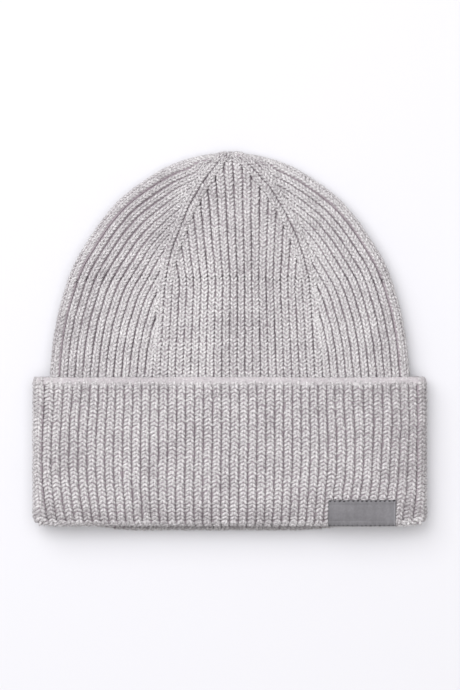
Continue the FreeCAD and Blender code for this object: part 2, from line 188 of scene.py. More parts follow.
def rounded_line(points, sigma):
    """A dense line through the points, softened with its ends held."""
    reach = 3 * sigma
    kernel = gaussian(sigma, reach)
    return np.stack([
        np.convolve(np.pad(column, reach, "reflect", reflect_type="odd"), kernel, "valid")
        for column in evenly(np.array(points, float), 400).T
    ], 1)


def nearest(line, points):
    """Distance from each point to a dense flat line, and the index of the closest place."""
    gap = np.hypot(points[:, None, 0] - line[:, 0], points[:, None, 1] - line[:, 1])
    return gap.min(1), gap.argmin(1)


def first_true(flags):
    return np.argmax(flags) if flags.any() else len(flags)


class Path(NamedTuple):
    """Stations of a rib with unit vectors along it, across it and out of the fabric."""
    place: np.ndarray
    along: np.ndarray
    across: np.ndarray
    out: np.ndarray
    pitch: np.ndarray = None       # rib width

    def part(self, pick):
        return Path(*(field[pick] for field in self))

    def lifted(self, height):
        return self._replace(place=self.place + self.out * height)

    def upended(self):
        return self._replace(along=-self.along, across=-self.across)


def framed(place, facing, pitch):
    along = tangents(place)
    out = unit(facing - (facing * along).sum(1)[:, None] * along)
    return Path(place, along, np.cross(along, out), out, pitch)


def knit_path(points, facing, pitch, step=ROW):
    """A rib's path with a station at each course."""
    length = arc_length(points)
    at = np.linspace(0, length[-1], max(2, int(round(length[-1] / step)) + 1))
    facing = np.broadcast_to(facing, points.shape)
    pitch = np.broadcast_to(pitch, (len(points),))
    return framed(
        interp_columns(at, length, points), interp_columns(at, length, facing),
        np.interp(at, length, pitch),
    )


# ---------------------------------------------------------------- stitches

# Middle line of one leg: across the rib, up it, and out of the fabric. The leg comes out at
# the middle low down and goes back in at the rib's edge. A stretched rib has steep legs, a
# slack one has legs that splay.
STEEP_LEG = np.array([
    (0.20, -1.62, -0.20), (0.36, -0.98, 0.60), (0.68, -0.32, 0.88), (1.02, 0.34, 0.82),
    (1.33, 0.94, 0.36), (1.50, 1.46, -0.50),
])
SPLAYED_LEG = np.array([
    (0.10, -1.26, -0.30), (0.30, -0.84, 0.54), (0.68, -0.29, 0.88), (1.09, 0.27, 0.84),
    (1.46, 0.80, 0.40), (1.70, 1.16, -0.35),
])
LEG_RADIUS = np.array([0.46, 0.66, 0.76, 0.76, 0.64, 0.42])
LEG_FLATNESS = 0.92
TWIST = 1.1                        # turns the two plies make along one leg


def ring_angles(corners):
    return np.arange(corners) / corners * 2 * np.pi + np.pi / corners


def tube_quads(rings, corners):
    i = np.arange(rings - 1)[:, None] * corners
    j = np.arange(corners)[None, :]
    following = (j + 1) % corners
    quads = [i + j, i + following, i + corners + following, i + corners + j]
    return np.stack(quads, -1).reshape(-1, 4)


def tube_ends(rings, corners):
    first = np.arange(corners)[None, :]
    return first, first + (rings - 1) * corners


class Template(NamedTuple):
    verts: np.ndarray
    faces: list
    turn: np.ndarray               # angle of the ply twist at each vertex
    leg: np.ndarray                # 0 or 1: the leg each vertex belongs to


def leg_template(hand, rings, corners, splay):
    stations = np.linspace(0, len(LEG_RADIUS) - 1, rings)
    index = np.arange(len(LEG_RADIUS))
    middle = interp_columns(stations, index, STEEP_LEG + (SPLAYED_LEG - STEEP_LEG) * splay)
    radius = np.interp(stations, index, LEG_RADIUS)
    along = tangents(middle)
    across = unit(np.cross(along, (0.0, 0.0, 1.0)))
    out = np.cross(across, along)
    angle = ring_angles(corners)
    verts = (
        middle[:, None, :]
        + np.cos(angle)[None, :, None] * across[:, None, :] * radius[:, None, None]
        + np.sin(angle)[None, :, None] * out[:, None, :]
        * (radius * LEG_FLATNESS)[:, None, None]
    ).reshape(-1, 3)
    first, last = tube_ends(rings, corners)
    faces = [tube_quads(rings, corners), first[:, ::-1], last]
    progress = np.repeat(np.linspace(0, 1, rings), corners)
    turn = np.tile(angle, rings) + hand * 2 * np.pi * TWIST * progress
    if hand < 0:
        verts = verts * np.array([-1, 1, 1])
        faces = [group[:, ::-1] for group in faces]
    return verts, faces, turn


def stitch_template(rings, corners, splay):
    verts, faces, turn = leg_template(1, rings, corners, splay)
    other_verts, other_faces, other_turn = leg_template(-1, rings, corners, splay)
    count = len(verts)
    quads, *ends = faces
    other_quads, *other_ends = [group + count for group in other_faces]
    return Template(
        np.concatenate([verts, other_verts]),
        [np.concatenate([quads, other_quads]), *ends, *other_ends],
        np.concatenate([turn, other_turn]),
        np.repeat([0, 1], count),
    )


FINE = stitch_template(6, 6, 0.85)      # the cuff
BODY = stitch_template(6, 6, 0.55)      # the hat above it
TAUT = stitch_template(6, 6, -0.20)     # the drawn-in sides of the crown
PLAIN = stitch_template(5, 5, 0.5)      # faces that lie hidden


def half_rib(pitch):
    """Half width of a rib's cord, which overlaps its neighbours a little."""
    return 0.5 * pitch + 0.12


class Batch:
    """Geometry of one piece, with three values per vertex: tone is the yarn's lightness, random from
    stitch to stitch, with painted light and shade added in places; the painted recess shade is 1
    down in the channels and on the low parts of each stitch; and ply is 0 in the groove between the
    plies."""

    def __init__(self):
        self.verts, self.loops, self.sizes = [], [], []
        self.values = {"tone": [], "painted_recess_shade": [], "ply": []}
        self.count = 0

    def add(self, verts, faces, tone, painted_recess_shade, ply=1.0):
        self.verts.append(verts)
        for group in faces:
            self.loops.append((group + self.count).reshape(-1))
            self.sizes.append(np.full(len(group), group.shape[1]))
        for name, value in (("tone", tone), ("painted_recess_shade", painted_recess_shade), ("ply", ply)):
            self.values[name].append(np.broadcast_to(value, (len(verts),)))
        self.count += len(verts)

    def stitches(self, path, width, length=1.0, template=FINE, height=1.0, tone=0.0,
                 jitter=1.0):
        """One stitch at each station. width, length and height scale the template."""
        count, leg = len(path.place), template.leg

        def stray(spread):
            return (rng.normal(0, spread, (count, 2)) * jitter)[:, leg]

        def column(value):
            return np.broadcast_to(value, (count,))[:, None]

        stray_across, stray_along, stray_out = stray(0.08), stray(0.11), stray(0.08)
        tilt, spread = stray(0.09), 1 + stray(0.06)
        ply = np.cos(template.turn[None, :] + rng.uniform(0, 2 * np.pi, (count, 2))[:, leg])
        flat_across = template.verts[None, :, 0] * spread
        flat_along, out = template.verts[None, :, 1], template.verts[None, :, 2]
        cos, sin = np.cos(tilt), np.sin(tilt)
        across = (flat_across * cos - flat_along * sin + stray_across) * column(width)
        along = (flat_across * sin + flat_along * cos + stray_along) * column(length)
        out = (out + stray_out) * column(height)
        verts = (
            path.place[:, None, :] + across[..., None] * path.across[:, None, :]
            + along[..., None] * path.along[:, None, :] + out[..., None] * path.out[:, None, :]
        )
        size = len(template.verts)
        offset = (np.arange(count) * size)[:, None, None]
        faces = [(group + offset).reshape(-1, group.shape[1]) for group in template.faces]
        tone = rng.normal(0, 1, (count, 2))[:, leg] + column(tone)
        painted_recess_shade = np.broadcast_to(clamp((0.25 - template.verts[None, :, 2]) / 0.9), (count, size))
        self.add(verts.reshape(-1, 3), faces, tone.reshape(-1), painted_recess_shade.reshape(-1),
                 ply.reshape(-1))

    def cord(self, path, half_width, half_height, corners=8, lift=0.0, tone=0.0, painted_recess_shade=0.85):
        """A closed flattened cord along a path: the body of one rib."""
        count = len(path.place)
        angle = ring_angles(corners)
        wide = np.broadcast_to(half_width, (count,))
        high = np.broadcast_to(half_height, (count,))
        verts = (
            path.place[:, None, :] + lift * path.out[:, None, :]
            + np.cos(angle)[None, :, None] * path.across[:, None, :] * wide[:, None, None]
            + np.sin(angle)[None, :, None] * path.out[:, None, :] * high[:, None, None]
        )
        first, last = tube_ends(count, corners)
        quads = tube_quads(count, corners)[:, [0, 3, 2, 1]]
        self.add(verts.reshape(-1, 3), [quads, first, last[:, ::-1]], tone, painted_recess_shade)

    def yarn(self, points, radius, corners=6, tone=0.0, painted_recess_shade=0.1):
        """A round strand along any curve. Its frame is carried along without twisting."""
        along = tangents(points)
        out = np.zeros_like(points)
        carried = np.array([0.0, 0.0, 1.0] if abs(along[0, 2]) < 0.9 else [1.0, 0.0, 0.0])
        for i, direction in enumerate(along):
            carried = unit(carried - direction * np.dot(carried, direction))
            out[i] = carried
        self.cord(Path(points, along, np.cross(along, out), out), radius, radius,
                  corners=corners, tone=tone, painted_recess_shade=painted_recess_shade)

    def mesh(self, name):
        loops = np.concatenate(self.loops)
        sizes = np.concatenate(self.sizes)
        verts = np.concatenate(self.verts) * 0.001
        starts = np.concatenate([[0], np.cumsum(sizes)[:-1]])
        mesh = bpy.data.meshes.new(name)
        mesh.vertices.add(len(verts))
        mesh.vertices.foreach_set("co", verts.astype(np.float32).reshape(-1))
        mesh.loops.add(len(loops))
        mesh.loops.foreach_set("vertex_index", loops.astype(np.int32))
        mesh.polygons.add(len(sizes))
        mesh.polygons.foreach_set("loop_start", starts.astype(np.int32))
        mesh.update(calc_edges=True)
        mesh.polygons.foreach_set("use_smooth", np.ones(len(sizes), bool))
        for key, values in self.values.items():
            attribute = mesh.attributes.new(key, "FLOAT", "POINT")
            attribute.data.foreach_set("value", np.concatenate(values).astype(np.float32))
        mesh.validate()
        piece = bpy.data.objects.new(name, mesh)
        bpy.context.scene.collection.objects.link(piece)
        return piece


WOOL_PIECES = []


def register(piece, replaced, body=None, turn=None):
    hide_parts(replaced)
    if body:
        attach(piece, body)
    if turn:
        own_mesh(piece)


def finish_knit(batch, name, replaced, body=None, turn=None):
    piece = batch.mesh(name)
    WOOL_PIECES.append(piece)
    register(piece, replaced, body, turn)
    return piece


# ---------------------------------------------------------------- rounded side profile

class Profile:
    """Quarter-ellipse cross-section of one layer, from the side crease inwards."""

    def __init__(self, reach, height):
        angle = np.linspace(0, np.pi / 2, 64)
        self.reach, self.height = reach, height
        self.inset = reach * (1 - np.cos(angle))
        self.z = height * np.sin(angle)
        self.arc = np.concatenate([
            [0], np.cumsum(np.hypot(np.diff(self.inset), np.diff(self.z))),
        ])
        self.length = self.arc[-1]
        out_x, out_z = np.cos(angle) / reach, np.sin(angle) / height
        size = np.hypot(out_x, out_z)
        self.out_x, self.out_z = out_x / size, out_z / size

    def at(self, arc):
        """At a distance along the knit from the crease: how far in from the edge, the rise
        from 0 at mid-height to 1 on top, and the normal's sideways and upward parts."""
        arc = np.asarray(arc, float)
        return (
            np.interp(arc, self.arc, self.inset) + np.maximum(arc - self.length, 0),
            np.interp(arc, self.arc, self.z) / self.height,
            np.interp(arc, self.arc, self.out_x), np.interp(arc, self.arc, self.out_z),
        )


TUBE_REACH = 3.6
BODY_PROFILE = Profile(TUBE_REACH, 5.9)
TUBE_PROFILE = Profile(TUBE_REACH, WALL_Z[1] - Z_MID)

# ---------------------------------------------------------------- outline of the hat

edge_starts, edge_ends = [], []
for cad_name in ("knit_tube", "crown_gore_front", "crown_gore_back", "crown_gore_left",
                 "crown_gore_right"):
    cad_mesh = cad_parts[cad_name].data
    corners = np.empty(len(cad_mesh.vertices) * 3)
    cad_mesh.vertices.foreach_get("co", corners)
    corners = corners.reshape(-1, 3) * 1000.0
    ends = np.empty(len(cad_mesh.edges) * 2, np.int32)
    cad_mesh.edges.foreach_get("vertices", ends)
    ends = ends.reshape(-1, 2)
    edge_starts.append(corners[ends[:, 0]])
    edge_ends.append(corners[ends[:, 1]])
edge_starts, edge_ends = np.concatenate(edge_starts), np.concatenate(edge_ends)


def slice_at(y):
    """Half width, underside and top of the CAD solids at one y."""
    hit = (edge_starts[:, 1] - y) * (edge_ends[:, 1] - y) < 0
    start, end = edge_starts[hit], edge_ends[hit]
    cut = start + (end - start) * ((y - start[:, 1]) / (end[:, 1] - start[:, 1]))[:, None]
    return y, np.abs(cut[:, 0]).max(), cut[:, 2].min(), cut[:, 2].max()


# Columns: y, half width, underside, top. The slices are closer near the tip.
SLICES = np.array([
    slice_at(y) for y in np.concatenate([np.arange(-94, 90, 2.3), np.arange(90.3, 100.0, 0.9)])
])


def section(y):
    """Half width, underside and top of the hat at y."""
    return [np.interp(y, SLICES[:, 0], column) for column in SLICES.T[1:]]


edge_y = np.concatenate([np.linspace(JOIN_Y, 90, 60), np.linspace(91, SLICES[-1, 0], 14)])
cad_edge = rounded_line(
    list(zip(section(edge_y)[0], edge_y)) + [(4.0, TIP_Y + 1.2), (0.0, TIP_Y + 1.4)], 5)
HAT_EDGE = cad_edge + STAND * inward(cad_edge)
HAT_EDGE = HAT_EDGE[HAT_EDGE[:, 0] > 0.0]

# Decrease lines as (distance from the middle, y): two fashioned ribs run up each of them. The
# crown sits slightly turned, so one line is nearer the middle than the other.
NEAR_LINE = rounded_line([
    (37.3, JOIN_Y), (36.4, 0), (34.6, 31.0), (31.5, 46.9), (26.8, 59.4), (21.8, 71.9),
    (14.7, 84.4), (5.6, 96.6), (1.2, TIP_Y - 0.2),
], 6)
FAR_LINE = rounded_line([
    (45.6, JOIN_Y), (44.6, 0), (42.7, 31.0), (39.5, 45.0), (34.9, 57.8), (29.4, 68.8),
    (22.0, 81.0), (12.3, 92.0), (5.6, 97.8), (1.8, TIP_Y - 0.2),
], 6)


def decrease_line(side, hand):
    """The back's decrease lines are the mirror of the front's."""
    return NEAR_LINE if hand * side < 0 else FAR_LINE


BODY_SEED = {1: 5, -1: 9}
CUFF_SEED = {1: 41, -1: 47}


def wobble(x, y, seed):
    """Ribs never run quite straight."""
    return 0.30 * smooth_noise(x, y, 42.0, seed) + 0.12 * smooth_noise(x * 3.1, y, 11.0, seed + 3)


def relief(x, y):
    """Soft unevenness of the upper layer: a low upright ridge, and a dip under the tip."""
    crest = np.where(x < -5, bell(x, -5, 22.0), bell(x, -5, 12.0))
    rising, falling = clamp((y + 19) / 26), clamp((78 - y) / 34)
    ridge = 3.0 * crest * (0.35 + 0.65 * rising) * falling ** 1.3
    dip = -2.6 * bell(x, 1, 23.0) * bell(y, 71, 14.0)
    return ridge + dip + 0.45 * clamp((y - JOIN_Y) / 25.0) * smooth_noise(x + 500, y, 46.0, 11)


def body_z(side, x, y, rise):
    """Mid-surface height of the front or back layer."""
    _, low, high = section(y)
    z = (low + high) / 2 + side * rise * ((high - low) / 2 - HALF_LAYER)
    return z + relief(x, y) * clamp(rise) ** 3 if side > 0 else z


# ---------------------------------------------------------------- ribs above the cuff

# Each function below yields ribs as (points, facing, pitch).
BODY_POINTS = 320
PAIR = 4.05                        # pitch of the two fashioned ribs
SIDE_PITCH = 4.1
CENTRE_PITCH = 4.15
SQUEEZE_ROOM = 2.3 * SIDE_PITCH    # side ribs squeeze where they have less room than this
MOST_SQUEEZE = 2.3
FLARE_Y = 31.0                     # the centre ribs spread above this


def side_ribs(side, hand):
    """The ribs of a side gore, from the hat's edge inwards. They end at the decrease line."""
    edge = evenly(HAT_EDGE, BODY_POINTS)
    inwards = inward(edge)
    line = evenly(decrease_line(side, hand), 600)
    line_along = tangents(line)
    # the outermost ribs squeeze together so that they reach the tip
    room, _ = nearest(line, edge)
    squeeze = np.clip(SQUEEZE_ROOM / np.maximum(room - PAIR * 0.7, 0.7), 1.0, MOST_SQUEEZE)
    arcs = np.linspace(0, 62, 125)
    span = edge[0, 0] - line[0, 0] - BODY_PROFILE.reach + BODY_PROFILE.length - PAIR
    count = int(round(span / SIDE_PITCH))
    pitch = span / count
    for k in range(count):
        arc = np.array([np.interp((k + 0.5) * pitch, arcs * tight, arcs) for tight in squeeze])
        if k:
            arc = smoothed(arc, np.ones(13) / 13)
        inset, rise, out_x, out_z = BODY_PROFILE.at(arc)
        flat = edge + inwards * inset[:, None]
        distance, closest = nearest(line, flat)
        y = flat[:, 1]
        beyond = (flat[:, 0] < np.interp(y, line[:, 1], line[:, 0])) & (y > 0)
        stop = first_true((distance < PAIR * 0.48) | beyond)
        if stop < 12:
            continue
        # where a rib meets the fashioned pair it turns up alongside it
        merge = clamp(1 - (distance - PAIR * 0.62) / 18.0) ** 2 * clamp((y - 20) / 25)
        merge = merge * clamp((TIP_Y - y) / 30)
        turn_up = 6.0 if hand * side < 0 else 4.0
        flat = flat + line_along[closest] * (turn_up * merge)[:, None]
        x, y = hand * flat[:, 0], flat[:, 1]
        x = x + wobble(x, y, BODY_SEED[side]) * clamp(inset / 8)
        points = xyz(x, y, body_z(side, x, np.minimum(y, TIP_Y - 1.2), rise))
        facing = xyz(-hand * inwards[:, 0] * out_x, -inwards[:, 1] * out_x, side * out_z)
        yield points[:stop], facing[:stop], (pitch / squeeze)[:stop]


def pair_ribs(side, hand):
    """The two fashioned ribs that run up a decrease line."""
    line = evenly(decrease_line(side, hand), BODY_POINTS)
    narrowing = np.interp(line[:, 1], [85, 97, 100], [1.0, 0.72, 0.3])
    for shift in (0.5, -0.5):
        x, y = (line + inward(line) * (shift * PAIR * narrowing)[:, None]).T
        keep = y < TIP_Y - 0.6
        x, y = hand * x[keep], y[keep]
        x = x + wobble(x, y, BODY_SEED[side])
        z = body_z(side, x, y, 1.0) + side * 0.55 * clamp((y - 26) / 12)
        yield xyz(x, y, z), xyz(np.zeros_like(x), 0.0, side), PAIR * narrowing[keep]


def centre_ribs(side):
    """Upright ribs between the two pairs. They spread a little towards the crown."""
    left_line, right_line = decrease_line(side, -1), decrease_line(side, 1)
    y = np.linspace(JOIN_Y, TIP_Y - 1.0, BODY_POINTS)
    pair_left = -np.interp(y, left_line[:, 1], left_line[:, 0])
    pair_right = np.interp(y, right_line[:, 1], right_line[:, 0])
    left, right = pair_left + PAIR, pair_right - PAIR
    count = int(round((right[0] - left[0]) / CENTRE_PITCH))
    flare_left, flare_right = np.interp(FLARE_Y, y, left), np.interp(FLARE_Y, y, right)
    flare_middle = (flare_left + flare_right) / 2
    spread = 1 + 0.20 * np.clip((y - FLARE_Y) / 48, 0, 1.45)
    middle = flare_middle + (1.2 * side - flare_middle) * clamp((y - FLARE_Y) / 68)
    gather = clamp((y - 92) / 8) ** 1.6        # the last few ribs gather at the tip
    pitch = np.where(
        y <= FLARE_Y, (right - left) / count, (flare_right - flare_left) / count * spread)
    for j in range(count):
        share = (j + 0.5) / count
        start = flare_left + (flare_right - flare_left) * share
        above = middle + (start - flare_middle) * spread
        x = smoothed(np.where(y <= FLARE_Y, left + (right - left) * share, above),
                     gaussian(10, 24))
        x = x + (1.0 - x) * gather * 0.55
        stop = first_true((x <= pair_left + PAIR * 0.42) | (x >= pair_right - PAIR * 0.42))
        if stop < 10:
            continue
        x = x + wobble(x, y, BODY_SEED[side])
        points = xyz(x, y, body_z(side, x, y, 1.0))
        yield points[:stop], xyz(np.zeros(stop), 0.0, side), pitch[:stop]


def rib_groups(side):
    for hand, word in HANDS:
        yield word, side_ribs(side, hand)
        yield "pair", pair_ribs(side, hand)
    yield "centre", centre_ribs(side)


def crown_painted_shading(x, y):
    """Painted light and shade on the front of the crown and tube, with a slight lift overall: a
    lighter band left of the middle and a darker one right of it, as a ridge would catch and lose the
    light, darker towards both sides low down, and darker over the upper crown, most on its left.
    """
    high = clamp((y - 42) / 14)
    low = 1 - high
    shade = 0.35 - 2.0 * low * clamp((-x - 64) / 10) - 1.6 * low * clamp((x - 76) / 8)
    shade = shade + low * (3.2 * bell(x, -13.0, 7.5) - 1.1 * bell(x, 8.0, 10.0))
    return shade - high * (0.9 + 0.9 * clamp((-x - 12) / 12))


def cuff_painted_shading(x, y):
    """Painted shade on the front of the cuff: darker towards its right side and both side edges,
    just under the welt, and darkest towards its fold.
    """
    shade = -1.3 * clamp((x - 40) / 50) - 1.8 * clamp((x - 84) / 8)
    shade = shade - 1.0 * clamp((-x - 60) / 35) - 0.9 * clamp((y + 33) / 8)
    return shade - 2.4 * clamp((-83 - y) / 11)


def bent_over_tip(path, side):
    """Adds three stations that carry a rib's end over the tip towards mid-height."""
    steps = np.array([0.35, 0.7, 1.0])
    turn = steps * np.pi / 2
    end_x, end_y, end_z = path.place[-1]
    _, low, high = section(TIP_Y - 2)
    over = xyz(
        end_x + (TIP_X - end_x) * 0.45 * steps,
        end_y + (TIP_Y + 0.2 - end_y) * np.sin(turn),
        end_z + ((low + high) / 2 + side * 0.8 - end_z) * (1 - np.cos(turn)),
    )
    facing = unit(path.out[-1] * 0.3 + np.array([0.0, 1.0, 0.0]))
    return framed(
        np.concatenate([path.place, over]),
        np.concatenate([path.out, np.tile(facing, (3, 1))]),
        np.concatenate([path.pitch, np.full(3, path.pitch[-1] * 0.85)]),
    )


SPLIT_Y = 33.0                     # ribs belong to the tube below this, to a gore above


def knit_body_rib(batches, side, group, nth, rib):
    drawn, pair = group in ("left", "right"), group == "pair"
    # courses are counted along the whole rib so that the split never shows
    path = knit_path(*rib, step=ROW * (1.04 if drawn else 1.0))
    taper = np.ones(len(path.place))
    if not pair:
        fade = min(3, len(taper) - 1)
        taper[-fade:] = np.linspace(0.97, 0.75, fade)
    if path.place[-1, 1] > TIP_Y - 7 and abs(path.place[-1, 0] - TIP_X) < 9:
        path = bent_over_tip(path, side)
        taper = np.concatenate([taper, np.full(3, taper[-1])])
    x, y, _ = path.place.T
    high = clamp((y - 24) / 14) if pair else np.zeros(len(y))
    # fit is the pitch a stitch of width 1 fills
    if drawn:
        # the outermost ribs spread over the crown's edge
        spread = 1.22 if nth < 2 else 1.0
        full = np.interp(np.hypot(x, y - TIP_Y), [25, 70], [spread, 1.0])
        fit = np.interp(y, [5, 55], [4.04, 4.60 if group == "left" else 4.22])
    else:
        full, fit = 1.0, 3.86 if pair else 4.13
    width = path.pitch / fit * full * taper * (1 - 0.05 * high)
    low = y <= SPLIT_Y
    for mask, target in ((low, "tube"), (~low, "centre" if pair else group)):
        if not mask.any():
            continue
        # the cord runs one station on, so that it overlaps across the split
        first, last = np.where(mask)[0][[0, -1]]
        run = slice(max(first - 1, 0), last + 2)
        batches[target].cord(path.part(run), half_rib((path.pitch * taper)[run]),
                             1.15 * taper[run], lift=-0.25)
        # the front's stitches carry painted light and shade in their tone
        batches[target].stitches(
            path.part(mask).lifted(0.12), width[mask], 1.06 if drawn else 1.0,
            TAUT if drawn else BODY, height=(1.0 + 0.15 * high)[mask],
            tone=crown_painted_shading(x[mask], y[mask]) if side > 0 else 0.3,
            jitter=0.7 if drawn else 0.9,
        )


body_starts = {1: [], -1: []}      # lowest point, facing and pitch of every rib
for side, word in SIDES:
    batches = {key: Batch() for key in ("tube", "left", "right", "centre")}
    for group, ribs in rib_groups(side):
        for nth, rib in enumerate(ribs):
            body_starts[side].append([part[0] for part in rib])
            knit_body_rib(batches, side, group, nth, rib)
    finish_knit(batches["tube"], f"{word}_tube_knit", "knit_tube", "hat_body")
    for key in ("left", "right", "centre"):
        gore = f"crown_gore_{word if key == 'centre' else key}"
        finish_knit(batches[key], f"{word}_{key}_crown_knit", gore, "hat_body")


# ---------------------------------------------------------------- the tube under the cuff

def fold_rise(side, x):
    """The back fold runs up a little towards both sides."""
    if side > 0:
        return 0.0
    start, reach, most = (35.0, 45.0, 3.1) if x > 0 else (54.0, 30.0, 2.7)
    part = min(1.0, max(0.0, (abs(x) - start) / reach))
    return most * part * part * (3 - 2 * part)


for side, word in SIDES:
    halves = {"left": Batch(), "right": Batch()}
    for (top_x, _, top_z), facing, pitch in body_starts[side]:
        low_y = FOLD_Y[side] + 0.7 + fold_rise(side, top_x * CUFF_EDGE / TUBE_EDGE)
        y = np.linspace(low_y, JOIN_Y, 60)
        seed = BODY_SEED[side]
        stray = wobble(top_x, y, seed) - wobble(top_x, JOIN_Y, seed)
        x = top_x + stray * clamp((TUBE_EDGE - abs(top_x)) / 8)
        path = knit_path(xyz(x, y, top_z), facing, pitch)
        batch = halves["left" if top_x < 0 else "right"]
        batch.cord(path, half_rib(path.pitch), 1.15, lift=-0.25)
        batch.stitches(path.lifted(0.12), path.pitch / 4.35, template=PLAIN)
    for key, batch in halves.items():
        finish_knit(batch, f"{word}_lower_{key}_knit", "knit_tube", "hat_body")

# ---------------------------------------------------------------- the cuff
RIBS = 23                          # ribs on each quarter of the ring
TURNING = range(3)                 # those that turn with the side
FLAT = range(TURNING.stop, RIBS)
CUFF_PROFILE = Profile(4.0, CUFF_Z[1] - Z_MID)
PITCH = (CUFF_EDGE - CUFF_PROFILE.reach + CUFF_PROFILE.length) / RIBS

# Sideways stray of the stretched cuff's ribs: a row for each height, from the fold up to the
# top edge, and a column for each place across the front.
DRIFT_X = [-104, -99, -80, -66, -52, -42, -28, 15, 27, 36, 45, 55, 64, 76, 88, 95, 99, 104]
DRIFT_Y = [-95.5, -90, -84.5, -79, -73.5, -63, -52, -47, -42, -36.5, -31, -25]
DRIFT = [
    [2.4, 3.2, 3.4, 2.3, 1.4, 0.9, 0, -0.4, -1, -1.5, -2.2, -2.4, -2.7, -3.3, -3.4, -3, -2.7, -2],
    [1.6, 2.2, 2.6, 1.7, 1.2, 0.5, 0, -0.2, -0.7, -1.1, -1.8, -2.2, -2.4, -2.7, -2.8, -2, -1.5, -1],
    [1, 1.5, 1.8, 1.5, 1, 0.3, -0.1, 0, -0.4, -1, -1.4, -1.7, -2.2, -1.8, -1.8, -1.2, -0.9, -0.5],
    [0.6, 1, 1.1, 0.9, 0.5, 0.2, -0.2, 0.1, -0.2, -0.8, -1, -1.4, -1.5, -1.1, -1, -0.7, -0.6, -0.3],
    [0.2, 0.3, 0.4, 0.3, 0.1, 0.1, -0.2, 0, -0.1, -0.4, -0.4, -0.5, -0.3, -0.3, -0.3, -0.3, -0.3, 0],
    [0, 0, 0, 0, 0, 0, 0, 0, 0, 0, 0, 0, 0.1, 0.1, 0.1, 0, 0, 0],
    [0, 0, -0.1, -0.1, -0.1, 0, 0.1, 0.1, 0, 0, 0.1, -0.1, 0.2, 0.5, 0.7, 0.6, 0.1, 0],
    [0, 0.2, 0, 0.1, 0, 0, 0.1, 0.1, -0.1, -0.1, -0.1, -0.3, -0.1, 0.9, 1.1, 0.8, 0.2, 0],
    [0.2, 0.5, 0.3, 0.4, 0.1, -0.1, 0, 0.1, -0.1, -0.1, -0.2, -0.6, -0.6, 0.9, 1.3, 0.9, 0.2, 0],
    [0.4, 0.8, 0.8, 0.7, 0.3, 0, 0, 0.1, 0, -0.1, -0.4, -0.9, -1, 0.7, 1.1, 0.8, 0.2, 0],
    [0.6, 1.1, 1.3, 1, 0.4, 0.1, 0.1, 0.1, 0, -0.2, -0.4, -1, -1.1, 0.6, 0.7, 0.6, 0, 0],
    [0.6, 1.2, 1.6, 1.2, 0.5, 0.2, 0.1, 0.1, 0, -0.2, -0.4, -1, -1.1, 0.5, 0.5, 0.4, 0, 0],
]

# How the front cuff puffs out: share of the way from fold to welt, share of the full puff.
PUFF = np.array([
    (0, 0), (0.03, 0.30), (0.06, 0.54), (0.10, 0.77), (0.15, 0.94), (0.21, 1.0), (0.32, 0.90),
    (0.5, 0.60), (0.75, 0.27), (1.0, 0.0),
])
CORNER = [2.7, 0.9, 0.25]          # how far the outermost ribs' ends rise: rounded corners
FOLD_MID = (FOLD_Y[1] + FOLD_Y[-1]) / 2


def cuff_drift(x, y, side):
    """The back strays as the front's mirror image, a little less."""
    place = x if side > 0 else -x * 0.98
    column = [np.interp(place, DRIFT_X, row) for row in DRIFT]
    drift = smoothed(np.interp(y, DRIFT_Y, column), gaussian(2, 4))
    return drift if side > 0 else -drift * 0.8


def cuff_wave(x, y, side):
    """How far the cuff stands off: the front one is puffed just above its fold."""
    noise = 0.34 * smooth_noise(x + 90, y, 34.0, 31 if side > 0 else 37)
    hold = clamp((y - FOLD_Y[side]) / 12.0) * clamp((WELT_LOW - y) / 12.0)
    if side < 0:
        return noise * hold
    share = (y - FOLD_Y[side]) / (WELT_LOW - FOLD_Y[side])
    puff = 3.6 * np.interp(share, PUFF[:, 0], PUFF[:, 1])
    right = clamp((x - 45) / 50.0)
    return puff * (1 - 0.55 * right) + noise * hold - 0.8 * right * hold


def home_x(hand, arc):
    """Where a line at this arc distance from the crease stands before it strays."""
    return hand * (CUFF_EDGE - float(CUFF_PROFILE.at(arc)[0]))


def fold_y(side, k, hand):
    """Height of the fold's centre for one rib."""
    arc = (k + 0.5) * PITCH
    rise = float(CUFF_PROFILE.at(arc)[1])
    low = FOLD_Y[side] + fold_rise(side, home_x(hand, arc))
    return FOLD_MID + (low - FOLD_MID) * rise + (CORNER[k] if k < len(CORNER) else 0.0)


def rib_edge(side, hand, arc, y):
    """Arc positions, at heights y, of the line that starts at arc."""
    x = home_x(hand, arc)
    stray = cuff_drift(x, y, side) + wobble(x, y, CUFF_SEED[side])
    return arc - hand * stray * min(1.0, arc / 9.0) ** 1.5


def cuff_rib(side, hand, k, y):
    """Points, facing and width of one rib of the cuff at heights y."""
    outer = rib_edge(side, hand, k * PITCH, y)
    inner = rib_edge(side, hand, (k + 1) * PITCH, y)
    arc = (outer + inner) / 2
    inset, rise, out_x, out_z = CUFF_PROFILE.at(arc)
    x = hand * (CUFF_EDGE - inset)
    bow = side * out_z * cuff_wave(x, y, side) * clamp((arc - 8) / 10)
    z = Z_MID + side * rise * CUFF_PROFILE.height + bow
    return xyz(x, y, z), xyz(hand * out_x, 0.0, side * out_z), inner - outer


def cuff_station(side, hand, k, y):
    """The same at a single height."""
    return [part[0] for part in cuff_rib(side, hand, k, np.array([y]))]


def cuff_rib_heights(side, hand, k):
    return np.linspace(fold_y(side, k, hand), WELT_LOW + 1.0, 60)


